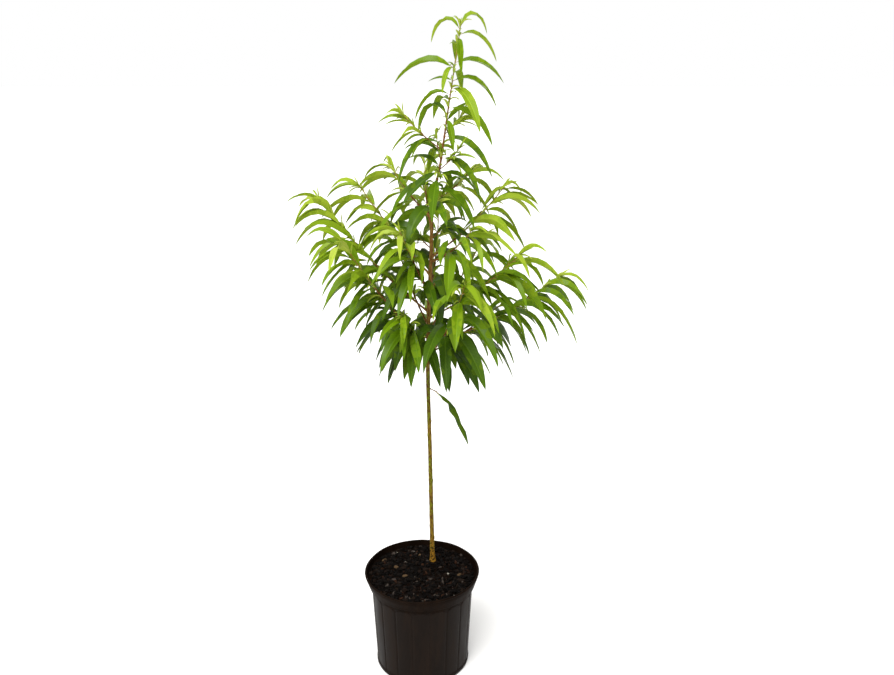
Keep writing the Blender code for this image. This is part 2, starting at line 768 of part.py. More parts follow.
def make_tree():
    trunk = make_trunk("trunk")
    shade_round(trunk)
    finish(trunk, BARK_OLIVE, 0.6)
    cutter = make_trunk("trunk_cutter", CLEARANCE)
    boughs, stems = make_limbs(cutter)
    bpy.data.objects.remove(cutter, do_unlink=True)
    leader = make_leader_stem()
    twigs = [limb("leader_twig", twig, 0.0, 1.0, TWIG_SIDES, 1.2) for twig in LEADER_TWIGS]

    space = Space()
    space.add_piece("trunk", trunk)
    for bough in boughs.values():
        space.add_piece("boughs", bough)
    for name, stem in stems.items():
        space.add_piece(f"{name} twig", stem)
    space.add_piece("leader twig", leader)
    for twig in twigs:
        space.add_piece("leader twig", twig)

    leaves = grow_leader_leaves(space)
    for index, twig in enumerate(LEADER_TWIGS):
        leaves += grow_leaves(space, "leader", twig, 0.35, shoot_stem(twig), 2 + index)
    join_mass(leader, [*twigs, *leaves])
    finish(leader, LEAF_YOUNG, 0.5)
    for index, (name, shoot) in enumerate({**SPURS, **SHOOTS}.items()):
        first = shoot.bare + 0.02 if shoot.bare else 0.45
        leaves = grow_leaves(space, name, shoot, first, shoot_stem(shoot), 10 + index)
        join_mass(stems[name], leaves)
        finish(stems[name], mass_colour(name, index), 0.5)
        print(name, len(leaves), "of", shoot.leaves, "leaves,", len(stems[name].data.polygons), "faces")


clear_scene()
make_pot()
make_soil()
make_tree()
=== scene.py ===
# Dwarf peach tree in a black nursery pot: its looks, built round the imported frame.
# Metres, +Z up. The origin is the middle of the pot's flat underside, and -Y is the front.

import math
import random
from typing import NamedTuple

import bpy
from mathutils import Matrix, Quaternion, Vector, noise
from mathutils.bvhtree import BVHTree


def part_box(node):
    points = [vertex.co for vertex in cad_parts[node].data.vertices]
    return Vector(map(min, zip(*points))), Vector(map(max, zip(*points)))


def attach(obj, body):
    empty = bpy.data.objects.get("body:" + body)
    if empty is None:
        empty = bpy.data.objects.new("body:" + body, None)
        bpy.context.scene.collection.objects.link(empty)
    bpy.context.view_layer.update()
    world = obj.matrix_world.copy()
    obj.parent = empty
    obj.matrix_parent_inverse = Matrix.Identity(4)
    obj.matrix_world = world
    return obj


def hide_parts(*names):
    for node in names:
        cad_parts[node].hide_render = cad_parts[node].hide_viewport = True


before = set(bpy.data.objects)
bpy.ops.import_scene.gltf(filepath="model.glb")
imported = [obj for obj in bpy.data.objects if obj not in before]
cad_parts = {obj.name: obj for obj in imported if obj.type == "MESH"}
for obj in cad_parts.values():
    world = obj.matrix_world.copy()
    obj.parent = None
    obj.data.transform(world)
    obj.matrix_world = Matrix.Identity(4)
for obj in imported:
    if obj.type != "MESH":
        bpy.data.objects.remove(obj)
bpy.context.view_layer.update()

up = Vector((0.0, 0.0, 1.0))
print("frame loaded:", len(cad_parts), "solids")


# Camera, floor and light

cameraValues = {
    "place": (0.061, -2.018, 1.530),
    "pitchDown": 18.7,  # degrees
    "lens": 38.26,  # mm, on a sensor as wide as the picture
    "sensor": 36.0,
    "sight": 60.0,
}
lightValues = {
    "sky": 1.0,
    "sun": 2.5,
    "sunWidth": 32.0,  # degrees across, so that its shadows stay soft
    "sunFrom": (-0.55, -1.15, 2.1),
    "aim": (0.03, 0.04, 0.90),
    # place, width in metres, power in watts
    "key": ((-1.4, -1.8, 2.8), 0.9, 16.0),
    "floor": 40.0,
    "floorHeight": -0.0002,
}


def linear(code):
    values = [int(code[i : i + 2], 16) / 255 for i in (1, 3, 5)]
    return [v / 12.92 if v <= 0.04045 else ((v + 0.055) / 1.055) ** 2.4 for v in values]


def setInputs(tree, node, inputs):
    # an input is a plain value, a hex colour, or another node with the name or number of its output
    for name, value in inputs.items():
        if isinstance(value, str):
            value = (*linear(value), 1.0)
        if isinstance(value, tuple) and isinstance(value[0], bpy.types.Node):
            tree.links.new(value[0].outputs[value[1]], node.inputs[name])
        else:
            node.inputs[name].default_value = value


def addNode(tree, kind, inputs=None, **settings):
    node = tree.nodes.new("ShaderNode" + kind)
    for name, value in settings.items():
        setattr(node, name, value)
    setInputs(tree, node, inputs or {})
    return node


def newMaterial(name, colour, roughness, specular=0.5):
    material = bpy.data.materials.new(name)
    material.use_nodes = True
    tree = material.node_tree
    shader = tree.nodes["Principled BSDF"]
    setInputs(tree, shader, {"Base Color": colour, "Roughness": roughness, "Specular IOR Level": specular})
    return material, tree, shader


def makeGrainy(name, colour, roughness, specular, scale, detail, tints=(), edges=(0.0, 1.0), bump=()):
    # a finish with one fine grain, which mixes two tints, or stands out, or both
    material, tree, shader = newMaterial(name, colour, roughness, specular)
    place = addNode(tree, "TexCoord")
    grain = addNode(tree, "TexNoise", {"Vector": (place, "Object"), "Scale": scale, "Detail": detail})
    if tints:
        amount = addNode(tree, "MapRange", {"Value": (grain, 0), "From Min": edges[0], "From Max": edges[1]})
        mix = addNode(tree, "Mix", {0: (amount, 0), 6: tints[0], 7: tints[1]}, data_type="RGBA")
        setInputs(tree, shader, {"Base Color": (mix, 2)})
    if bump:
        relief = addNode(tree, "Bump", {"Height": (grain, 0), "Strength": bump[0], "Distance": bump[1]})
        setInputs(tree, shader, {"Normal": (relief, 0)})
    return material


def makeCamera():
    v = cameraValues
    camera = bpy.data.objects.new("camera", bpy.data.cameras.new("camera"))
    bpy.context.scene.collection.objects.link(camera)
    camera.location = v["place"]
    camera.rotation_euler = (math.radians(90.0 - v["pitchDown"]), 0.0, 0.0)
    camera.data.lens = v["lens"]
    camera.data.sensor_width = v["sensor"]
    camera.data.clip_end = v["sight"]
    bpy.context.scene.camera = camera


def addLamp(name, kind, place, power):
    lamp = bpy.data.objects.new(name, bpy.data.lights.new(name, kind))
    bpy.context.scene.collection.objects.link(lamp)
    lamp.data.energy = power
    lamp.location = place
    aim = Vector(lightValues["aim"]) - lamp.location
    lamp.rotation_euler = aim.to_track_quat("-Z", "Y").to_euler()
    return lamp


def makeStage():
    v = lightValues
    world = bpy.data.worlds.new("sky")
    bpy.context.scene.world = world
    world.use_nodes = True
    sky = world.node_tree.nodes["Background"]
    setInputs(world.node_tree, sky, {"Color": "#ffffff", "Strength": v["sky"]})
    # a broad overhead glow that whitens the floor, and a smaller lamp for the gloss on the leaves
    sun = addLamp("overhead glow", "SUN", Vector(v["aim"]) + Vector(v["sunFrom"]), v["sun"])
    sun.data.angle = math.radians(v["sunWidth"])
    place, width, power = v["key"]
    key = addLamp("key", "AREA", place, power)
    key.data.shape = "DISK"
    key.data.size = width
    selectOnly()
    bpy.ops.mesh.primitive_plane_add(size=v["floor"], location=(0.0, 0.0, v["floorHeight"]))
    floor = bpy.context.object
    floor.name = "floor"
    material, _, _ = newMaterial("matte white paper", "#f7f6f4", 0.9)
    floor.data.materials.append(material)
    # the picture's whites and greens as they are, without a film curve
    bpy.context.scene.view_settings.view_transform = "Standard"
    print("camera, floor and lights made")


# Small tools for pieces


def selectOnly(*pieces):
    # the last of them becomes the active one
    bpy.ops.object.select_all(action="DESELECT")
    for piece in pieces:
        piece.select_set(True)
        bpy.context.view_layer.objects.active = piece


def editAll():
    bpy.ops.object.mode_set(mode="EDIT")
    bpy.ops.mesh.select_all(action="SELECT")


def applyModifier(piece, modifier):
    selectOnly(piece)
    bpy.ops.object.modifier_apply(modifier=modifier.name)


def shadeByAngle(piece, degrees):
    selectOnly(piece)
    bpy.ops.object.shade_smooth_by_angle(angle=math.radians(degrees))


def faceOut(piece):
    selectOnly(piece)
    editAll()
    bpy.ops.mesh.remove_doubles(threshold=1e-6)
    bpy.ops.mesh.normals_make_consistent(inside=False)
    bpy.ops.object.mode_set(mode="OBJECT")


def finishPiece(piece, name, materials, replaced=()):
    piece.name = name
    piece.data.name = name
    for material in materials:
        piece.data.materials.append(material)
    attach(piece, "root")
    if replaced:
        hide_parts(*replaced)
    print(name, "made:", len(piece.data.polygons), "faces")


def flat(rings):
    return [point for ring in rings for point in ring]


def boxOf(points):
    return [[pick(point[k] for point in points) for k in range(3)] for pick in (min, max)]


class Heap:
    # many small shapes gathered into one mesh, with a place across and along each on its UV map

    def __init__(self):
        self.points, self.places, self.faces, self.slots = [], [], [], []

    def add(self, points, places, faces, slots):
        base = len(self.points)
        self.points += points
        self.places += places
        self.faces += [[base + k for k in face] for face in faces]
        self.slots += slots

    def toPiece(self, sharpAngle):
        mesh = bpy.data.meshes.new("heap")
        mesh.from_pydata([tuple(point) for point in self.points], [], self.faces)
        mesh.polygons.foreach_set("material_index", self.slots)
        layer = mesh.uv_layers.new(name="leafPlace")
        for loop, corner in zip(mesh.loops, layer.data):
            corner.uv = self.places[loop.vertex_index]
        mesh.validate()
        mesh.shade_smooth()
        mesh.set_sharp_from_angle(angle=math.radians(sharpAngle))
        piece = bpy.data.objects.new("heap", mesh)
        bpy.context.scene.collection.objects.link(piece)
        return piece


# Pot: thermoformed shell with upright panels, a collar and a rolled lip

_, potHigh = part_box("pot")
potValues = {
    "height": potHigh.z,
    "lipRadius": potHigh.x,
    "panels": 18,
    "pointsPerPanel": 16,
    "firstGroove": 10.0,  # degrees to the right of the front
    "grooveDepth": 0.0013,
    "grooveHalfWidth": 0.0008,
    "archRadius": 0.0085,  # of the rounded top of each panel
    "footRadius": 0.1110,
    "footTop": 0.011,
    "wallFootRadius": 0.1132,
    "wallTopRadius": 0.1228,
    "wallTop": 0.205,
    "collarFoot": 0.219,
    "collarRadius": 0.1300,
    "collarTopRadius": 0.1370,
    "lipFoot": 0.2395,
    "lipBead": 0.0026,
    "wall": 0.0020,
    "floor": 0.0030,
    "drainHoles": 6,
    "drainRadius": 0.0055,
    "drainCircle": 0.088,
    "shadeDulledFrom": 0.2065,  # height above which the plastic is less glossy, as painted shade
    "rimWave": 0.0036,
    "rimWaveSize": 0.11,
    "sharpAngle": 32.0,
}


def potProfile():
    # radius and height of each ring: up the outside, over the lip and down the inside
    v = potValues
    low, high, footTop, wallTop = v["wallFootRadius"], v["wallTopRadius"], v["footTop"], v["wallTop"]
    collar, collarTop, collarFoot = v["collarRadius"], v["collarTopRadius"], v["collarFoot"]
    wall, bead, groove = v["wall"], v["lipBead"], v["grooveDepth"]
    rows = [
        (v["footRadius"], 0.0),
        (v["footRadius"] + 0.0021, 0.0008),
        (low + 0.0012, 0.0030),
        (low + 0.0014, footTop - 0.003),
        (low + 0.0010, footTop - 0.001),
    ]
    span = wallTop - footTop
    arches = [span - share * v["archRadius"] for share in (1.0, 0.6, 0.3, 0.1, 0.0)]
    for rise in [0.0, 0.003, 0.045, 0.090, 0.135] + arches:
        rows.append((low + (high - low) * rise / span, footTop + rise))
    rows += [(high + 0.0008, wallTop + 0.004), (high + 0.0016, collarFoot - 0.005)]
    for degrees in (0, 30, 60, 90):  # the collar's rounded shoulder
        turn = math.radians(degrees)
        reach = collar - high - 0.0030
        rows.append((high + 0.0030 + reach * math.sin(turn), collarFoot - 0.004 * math.cos(turn)))
    for share in (0.35, 0.70, 1.0):
        climb = v["lipFoot"] - 0.001 - collarFoot
        rows.append((collar + (collarTop - collar) * share, collarFoot + climb * share))
    for degrees in range(-78, 157, 26):  # the rolled lip
        turn = math.radians(degrees)
        out, rise = bead * (1 - math.cos(turn)), bead * math.sin(turn)
        rows.append((v["lipRadius"] - out, v["height"] - bead + rise))
    return rows + [
        (collarTop - wall, v["lipFoot"]),
        (collar - wall, collarFoot + 0.001),
        (high - groove - wall, collarFoot - 0.005),
        (low - groove - wall, v["floor"]),
    ]


def grooveAt(point):
    # how far the wall is set in at a point: a narrow groove that widens over the arch of each panel
    v = potValues
    height, radius = point.z, point.xy.length
    upright = v["footTop"] + 0.001 <= height < v["wallTop"] + 0.0005
    if not upright or radius < v["wallFootRadius"] - 0.0012:
        return 0.0
    pitch = 360.0 / v["panels"]
    turn = (math.degrees(math.atan2(point.y, point.x)) + 90.0 - v["firstGroove"]) % pitch
    away = math.radians(min(turn, pitch - turn)) * radius
    climb = height - (v["wallTop"] - v["archRadius"])
    halfWidth = v["grooveHalfWidth"]
    if climb > 0:
        climb = min(climb, v["archRadius"] * 0.999)
        halfWidth += v["archRadius"] - math.sqrt(v["archRadius"] ** 2 - climb**2)
    return v["grooveDepth"] if away < halfWidth else 0.0


def makePot():
    v = potValues
    rows = potProfile()
    selectOnly()
    bpy.ops.mesh.primitive_circle_add(
        vertices=v["panels"] * v["pointsPerPanel"], radius=rows[0][0], fill_type="NGON", location=(0, 0, 0)
    )
    pot = bpy.context.object
    editAll()
    for (lastRadius, lastHeight), (radius, height) in zip(rows, rows[1:]):
        bpy.ops.mesh.extrude_region_move(TRANSFORM_OT_translate={"value": (0, 0, height - lastHeight)})
        grow = radius / lastRadius
        bpy.ops.transform.resize(value=(grow, grow, 1), center_override=(0, 0, 0))
    bpy.ops.object.mode_set(mode="OBJECT")
    # the grooves are pushed in ring by ring
    for vertex in pot.data.vertices:
        depth = grooveAt(vertex.co)
        if depth:
            vertex.co.xy *= 1 - depth / vertex.co.xy.length
    faceOut(pot)
    cutDrainHoles(pot)
    rim = pot.vertex_groups.new(name="rim")
    for vertex in pot.data.vertices:
        share = (vertex.co.z - v["wallTop"]) / (v["height"] - v["wallTop"])
        if share > 0:
            rim.add([vertex.index], min(1.0, share), "REPLACE")
    waves = bpy.data.textures.new("handled rim", "CLOUDS")
    waves.noise_scale = v["rimWaveSize"]
    waves.noise_depth = 1
    for direction in ("Z", "Y"):
        modifier = pot.modifiers.new("handled", "DISPLACE")
        modifier.texture = waves
        modifier.direction = direction
        modifier.strength = v["rimWave"]
        modifier.vertex_group = "rim"
        applyModifier(pot, modifier)
    pot.vertex_groups.clear()
    shadeByAngle(pot, v["sharpAngle"])
    # faces above that height take the less glossy copy: painted shade on the collar and lip
    for face in pot.data.polygons:
        face.material_index = 1 if face.center.z > v["shadeDulledFrom"] else 0
    # its collar and lip get a less glossy copy of the plastic so that they render darker: painted shade
    finishes = (("black polypropylene", 0.055), ("shade-dulled black polypropylene", 0.015))
    materials = [makePotPlastic(name, specular) for name, specular in finishes]
    finishPiece(pot, "nurseryPot", materials, ["pot"])


def cutDrainHoles(pot):
    v = potValues
    selectOnly()
    drills = []
    for i in range(v["drainHoles"]):
        turn = 2 * math.pi * (i + 0.5) / v["drainHoles"]
        place = (v["drainCircle"] * math.cos(turn), v["drainCircle"] * math.sin(turn), v["floor"] / 2)
        bpy.ops.mesh.primitive_cylinder_add(vertices=20, radius=v["drainRadius"], depth=0.012, location=place)
        drills.append(bpy.context.object)
    selectOnly(*drills)
    bpy.ops.object.join()
    drill = bpy.context.object
    modifier = pot.modifiers.new("drain", "BOOLEAN")
    modifier.operation = "DIFFERENCE"
    modifier.object = drill
    applyModifier(pot, modifier)
    bpy.data.objects.remove(drill, do_unlink=True)


def makePotPlastic(name, specular):
    # black recycled polypropylene, thermoformed: a soft sheen, a faint orange peel and brown dust
    material, tree, shader = newMaterial(name, "#150d08", 0.46, specular)
    place = addNode(tree, "TexCoord")
    # dust in patches of about 30 mm, and handling marks drawn out upwards
    streaks = addNode(tree, "Mapping", {"Vector": (place, "Object"), "Scale": (1.0, 1.0, 0.25)})
    dust = addNode(tree, "TexNoise", {"Vector": (streaks, 0), "Scale": 34.0, "Detail": 5.0, "Roughness": 0.6})
    dusty = {"Value": (dust, 0), "From Min": 0.45, "From Max": 0.75, "To Max": 0.55}
    matte = {"Value": (dust, 0), "From Min": 0.3, "From Max": 0.7, "To Min": 0.38, "To Max": 0.56}
    amount, dull = addNode(tree, "MapRange", dusty), addNode(tree, "MapRange", matte)
    colour = addNode(tree, "Mix", {0: (amount, 0), 6: "#110a06", 7: "#21160e"}, data_type="RGBA")
    # the skin's grain is about 1 mm across, drawn at 2 mm so that it shows
    grain = addNode(tree, "TexNoise", {"Vector": (place, "Object"), "Scale": 500.0, "Detail": 2.0})
    bump = addNode(tree, "Bump", {"Height": (grain, 0), "Strength": 0.12, "Distance": 0.0004})
    setInputs(tree, shader, {"Base Color": (colour, 2), "Roughness": (dull, 0), "Normal": (bump, 0)})
    return material


# Potting mix: composted bark with chips, fibres and a few grains of perlite

soilValues = {
    "edgeRadius": 0.1326,
    "edgeHeight": 0.2350,
    "depth": 0.020,
    "ringCount": 30,
    "footShare": 0.90,  # the lower edge keeps inside the pot's shoulder
    "lump": 0.0034,
    "lumpSize": 0.018,
    "collar": 0.0035,  # how far the mix is heaped against the trunk
    "collarRadius": 0.016,
    "chips": 2600,
    "chipSize": (0.0026, 0.0150),
    "chipShape": ((0.8, 1.5), (0.45, 0.9), (0.2, 0.5)),  # length, width and thickness, as shares of its size
    "chipTilt": 0.5,  # radians
    "fibres": 130,
    "fibreLength": (0.006, 0.020),
    "perlite": 11,
    "perliteSize": (0.0024, 0.0056),
    "perliteTilt": 0.8,
    "clear": 0.0050,  # kept free round the trunk's middle
}
chipTints = (
    # name, colour, share of the chips
    ("wet black bark", "#050302", 0.50),
    ("dark composted bark", "#0c0806", 0.29),
    ("brown bark", "#18100b", 0.15),
    ("red brown bark", "#2c1a10", 0.032),
    ("grey weathered bark", "#3a332e", 0.026),
    ("pale wood", "#4e3d2a", 0.002),
)


def trunkFoot():
    return trunkAt(trunkValues["ground"])[0]


def soilHeight(x, y):
    # the mound that rises to the trunk's foot, with its lumps
    v, ground = soilValues, trunkValues["ground"]
    reach, size = v["edgeRadius"], v["lumpSize"]
    share = min(1.0, (Vector((x, y)) - trunkFoot().xy).length / (reach + 0.02))
    mound = ground - (ground - v["edgeHeight"]) * share**0.8
    fine = noise.noise(Vector((x / size * 3, y / size * 3, 5.0)))
    lumps = noise.noise(Vector((x / size, y / size, 0.0))) + 0.45 * fine
    heap = v["collar"] * math.exp(-((share * reach / v["collarRadius"]) ** 2))
    return mound + heap + v["lump"] * lumps * min(1.0, share * 4)


def makeSoil():
    v = soilValues
    selectOnly()
    under = (0, 0, v["edgeHeight"] - v["depth"])
    bpy.ops.mesh.primitive_circle_add(vertices=120, radius=v["edgeRadius"], fill_type="NGON", location=under)
    soil = bpy.context.object
    editAll()
    bpy.ops.mesh.extrude_region_move(TRANSFORM_OT_translate={"value": (0, 0, v["depth"])})
    for _ in range(v["ringCount"]):
        bpy.ops.mesh.inset(thickness=v["edgeRadius"] / (v["ringCount"] + 1))
    bpy.ops.mesh.poke()
    bpy.ops.object.mode_set(mode="OBJECT")
    bpy.ops.object.transform_apply(location=True, rotation=False, scale=False)
    for vertex in soil.data.vertices:
        if vertex.co.z > v["edgeHeight"] - 0.001:
            vertex.co.z = soilHeight(vertex.co.x, vertex.co.y) - 0.0008
        else:
            vertex.co.xy *= v["footShare"]
    faceOut(soil)
    shadeByAngle(soil, 60.0)
    # damp fine compost between the chips: nearly black, crumbly
    tints = ("#070504", "#170f0b")
    compost = makeGrainy("damp fine compost", "#0b0706", 0.95, 0.0, 420.0, 3.0, tints, bump=(0.9, 0.0012))
    finishPiece(soil, "pottingMix", [compost], ["potting_mix"])
    makeChips()


def chipPoints(chance, size):
    # a broken flake: a six-sided slab with uneven corners
    long, wide, thick = [size * chance.uniform(*shares) for shares in soilValues["chipShape"]]
    low, high = [], []
    for k in range(6):
        turn = math.pi * k / 3 + chance.uniform(-0.25, 0.25)
        reach = chance.uniform(0.75, 1.1) / 2
        x, y = math.cos(turn) * long * reach, math.sin(turn) * wide * reach
        low.append(Vector((x, y, -thick / 2)))
        worn = [chance.uniform(0.6, most) for most in (1.0, 1.0, 1.3)]
        high.append(Vector((x * worn[0], y * worn[1], thick / 2 * worn[2])))
    return low + high


chipSides = [[k, (k + 1) % 6, 6 + (k + 1) % 6, 6 + k] for k in range(6)]
chipFaces = [[5, 4, 3, 2, 1, 0], [6, 7, 8, 9, 10, 11]] + chipSides


def scatterPlace(chance, clear):
    # a random place on the mix, off the trunk and inside the pot's wall
    v = soilValues
    while True:
        turn, reach = chance.uniform(0, 2 * math.pi), math.sqrt(chance.random()) * (v["edgeRadius"] - clear)
        x, y = reach * math.cos(turn), reach * math.sin(turn)
        if (Vector((x, y)) - trunkFoot().xy).length > v["clear"] + clear:
            return x, y


def scatterChip(heap, chance, size, slot, tilt):
    x, y = scatterPlace(chance, size * 0.7)
    spin = Quaternion(up, chance.uniform(0, 2 * math.pi))
    lean = Quaternion(Vector((1, 0, 0)), chance.gauss(0, tilt))
    lift = Vector((x, y, soilHeight(x, y) + size * chance.uniform(-0.05, 0.22)))
    points = [spin @ (lean @ point) + lift for point in chipPoints(chance, size)]
    heap.add(points, [(0.5, 0.5)] * 12, chipFaces, [slot] * len(chipFaces))


def makeChips():
    v = soilValues
    chance = random.Random(21)
    heap, grains = Heap(), Heap()
    least, most = v["chipSize"]
    shares = [share for _, _, share in chipTints]
    for _ in range(v["chips"]):
        size = least + (most - least) * chance.random() ** 1.8
        slot = chance.choices(range(len(chipTints)), shares)[0]
        scatterChip(heap, chance, size, slot, v["chipTilt"])
    for _ in range(v["fibres"]):
        addFibre(heap, chance, chance.choice((1, 2, 3)))
    materials = []
    for name, colour, _ in chipTints:  # bark broken across its layers: a rough damp face with fine dark lines
        materials.append(makeGrainy(name, colour, 0.75, 0.05, 700.0, 2.0, bump=(0.6, 0.0006)))
    finishPiece(heap.toPiece(25.0), "barkChips", materials)
    for _ in range(v["perlite"]):
        scatterChip(grains, chance, chance.uniform(*v["perliteSize"]), 0, v["perliteTilt"])
    material, _, _ = newMaterial("expanded perlite", "#9f998c", 0.85)  # matte white volcanic glass foam
    finishPiece(grains.toPiece(25.0), "perliteGrains", [material])


def addFibre(heap, chance, slot):
    # a thin bent splinter lying on the mix
    x, y = scatterPlace(chance, 0.010)
    turn, length = chance.uniform(0, 2 * math.pi), chance.uniform(*soilValues["fibreLength"])
    points = []
    for k in range(4):
        along = (k / 3 - 0.5) * length
        px, py = x + math.cos(turn) * along, y + math.sin(turn) * along
        turn += chance.uniform(-0.15, 0.15)
        points.append(Vector((px, py, soilHeight(px, py) + 0.0010 + 0.001 * chance.random())))
    rings = tubeRings(points, [0.0006, 0.0007, 0.0006, 0.0003], 4)
    addTube(heap, rings, [slot] * len(rings))


# Trunk and boughs

trunkValues = {
    "ground": 0.2410,
    "top": 1.165,
    # height, x, y and diameter
    "course": (
        (0.241, 0.0250, 0.050, 0.0172),
        (0.252, 0.0249, 0.050, 0.0136),
        (0.275, 0.0245, 0.050, 0.0112),
        (0.546, 0.0203, 0.050, 0.0098),
        (0.738, 0.0167, 0.050, 0.0094),
        (0.880, 0.0190, 0.049, 0.0092),
        (1.018, 0.0252, 0.048, 0.0086),
        (1.148, 0.0303, 0.046, 0.0062),
        (1.224, 0.0458, 0.045, 0.0050),
        (1.341, 0.0631, 0.043, 0.0034),
        (1.437, 0.0777, 0.041, 0.0025),
        (1.514, 0.0895, 0.040, 0.0016),
    ),
    "ringStep": 0.004,
    "sunk": 0.004,  # how far it goes on below the mix
    "past": 0.002,  # and above its top, into the leader
    "last": 1.50,  # highest place that bark relief reads
    # old leaf scars: how far apart, how far they stand out, their reach above, below and round the stem
    "budStep": 0.031,
    "budHeight": 0.0011,
    "budAbove": 0.0022,
    "budBelow": 0.0050,
    "budSpread": 0.62,
    "nodeRing": (0.00022, 0.0030),  # height and width of the ring at each scar
    # height, grain round the stem and grain along it of the soft ridges and of the flecks
    "ridges": ((0.00035, 1.6, 34.0), (0.00022, 3.2, 160.0)),
    "fullRelief": 0.0045,  # radius from which the relief is whole
}
boughValues = {
    "tipRadius": 0.0009,
    "sag": 0.045,
    "ringStep": 0.003,
    "overlap": 0.004,  # how far it goes on past its bare part
    "barkDepth": 0.004,  # how much of its foot is inside the trunk
    "collar": 0.9,  # how much its foot swells where it meets the trunk
    "collarLength": 0.008,
}


def readCourse(course, key):
    # the values at key, on a smooth curve through the rows
    keys = [row[0] for row in course]
    rows = [Vector(row[1:]) for row in course]
    last = len(rows) - 1

    def slope(i):
        low, high = max(i - 1, 0), min(i + 1, last)
        return (rows[high] - rows[low]) / (keys[high] - keys[low])

    i = max(0, min(last - 1, sum(1 for k in keys[1:] if k <= key)))
    span = keys[i + 1] - keys[i]
    t = (key - keys[i]) / span
    start, end = slope(i) * span, slope(i + 1) * span
    return (
        rows[i] * (2 * t**3 - 3 * t**2 + 1)
        + start * (t**3 - 2 * t**2 + t)
        + rows[i + 1] * (3 * t**2 - 2 * t**3)
        + end * (t**3 - t**2)
    )


def trunkAt(height):
    x, y, diameter = readCourse(trunkValues["course"], height)
    return Vector((x, y, height)), diameter / 2


def tubeRings(centres, radii, sides):
    rings = []
    side = Vector((1.0, 0.0, 0.0))
    for i, (centre, radius) in enumerate(zip(centres, radii)):
        ahead = (centres[min(i + 1, len(centres) - 1)] - centres[max(i - 1, 0)]).normalized()
        across = ahead.cross(side).normalized()
        side = across.cross(ahead).normalized()
        turns = [2 * math.pi * k / sides for k in range(sides)]
        rings.append([centre + (side * math.cos(t) + across * math.sin(t)) * radius for t in turns])
    return rings


def ringFaces(rings):
    # faces through rings of points of one size, or with one point at the tip, and a cap at each open end
    faces, start = [], 0
    for low, high in zip(rings, rings[1:]):
        count, following = len(low), start + len(low)
        for i in range(count):
            j = (i + 1) % count
            if len(high) == 1:
                faces.append([start + i, start + j, following])
            else:
                faces.append([start + i, start + j, following + j, following + i])
        start = following
    faces.append(list(range(len(rings[0]) - 1, -1, -1)))
    if len(rings[-1]) > 2:
        faces.append(list(range(start, start + len(rings[-1]))))
    return faces


def addTube(heap, rings, slots):
    # one material slot for each ring
    faces = ringFaces(rings)
    count = len(rings[0])
    places = [(k / count, i / len(rings)) for i, ring in enumerate(rings) for k in range(len(ring))]
    heap.add(flat(rings), places, faces, [slots[min(face[0] // count, len(rings) - 1)] for face in faces])


def drawLimb(centres, radii, resolution):
    # a curve with a round bevel, turned into a mesh
    selectOnly()
    bpy.ops.curve.primitive_nurbs_path_add(location=(0, 0, 0))
    curve = bpy.context.object.data
    curve.splines.clear()
    spline = curve.splines.new("POLY")
    spline.points.add(len(centres) - 1)
    for knot, centre, radius in zip(spline.points, centres, radii):
        knot.co = (*centre, 1.0)
        knot.radius = radius
    curve.dimensions = "3D"
    curve.bevel_depth = 1.0
    curve.bevel_resolution = resolution
    curve.use_fill_caps = True
    bpy.ops.object.convert(target="MESH")
    return bpy.context.object


def barkRelief(point):
    # how far the trunk's bark stands out at a point: leaf scars, soft ridges and flecks
    v = trunkValues
    centre, radius = trunkAt(min(point.z, v["last"]))
    turn = math.atan2(point.y - centre.y, point.x - centre.x)
    ringHeight, ringWidth = v["nodeRing"]
    near = round(point.z / v["budStep"])
    out = 0.0
    for i in (near - 1, near, near + 1):
        above = point.z - (i + random.Random(700 + i).uniform(-0.2, 0.2)) * v["budStep"]
        apart = (turn - i * leafTurn + math.pi) % (2 * math.pi) - math.pi
        climb = above / v["budBelow" if above < 0 else "budAbove"]
        out += v["budHeight"] * math.exp(-(climb**2) - (apart / v["budSpread"]) ** 2)
        out += ringHeight * math.exp(-((above / ringWidth) ** 2))
    for height, around, along in v["ridges"]:
        place = (math.cos(turn) * around, math.sin(turn) * around, point.z * along)
        out += height * noise.noise(Vector(place))
    return out * min(1.0, radius / v["fullRelief"])


def makeTrunk():
    v = trunkValues
    ground, top = v["ground"], v["top"]
    steps = round((top - ground) / v["ringStep"])
    span = top + v["past"] - ground
    heights = [ground - v["sunk"]] + [ground + span * i / steps for i in range(steps + 1)]
    centres, radii = zip(*(trunkAt(max(height, ground)) for height in heights))
    centres = [Vector((centre.x, centre.y, height)) for centre, height in zip(centres, heights)]
    trunk = drawLimb(centres, radii, 10)
    for vertex in trunk.data.vertices:
        centre, _ = trunkAt(min(max(vertex.co.z, ground), v["last"]))
        outward = Vector((vertex.co.x - centre.x, vertex.co.y - centre.y, 0.0))
        if outward.length > 1e-4:
            vertex.co += outward.normalized() * barkRelief(vertex.co)
    selectOnly(*[makeBough(shoot) for shoot in shoots.values()], trunk)
    bpy.ops.object.join()
    faceOut(trunk)
    shadeByAngle(trunk, 45.0)
    names = ["trunk"] + [f"bough_{name}" for name in shoots]
    finishPiece(trunk, "trunkAndBoughs", [makeBark()], names)


def makeBough(shoot):
    # the bare foot of a side shoot, from inside the trunk, swollen where it joins
    v = boughValues
    length = shootLength(shoot)
    end = shoot.bare + v["overlap"] / length
    steps = max(8, round(end * length / v["ringStep"]))
    shares = [end * i / steps for i in range(steps + 1)]
    radii = []
    for share in shares:
        fromBark = share * length - v["barkDepth"]
        swell = v["collar"] * math.exp(-max(0.0, fromBark) / v["collarLength"])
        radii.append(shootRadius(shoot, share) * (1 + swell))
    return drawLimb([shootPoint(shoot, share) for share in shares], radii, 4)


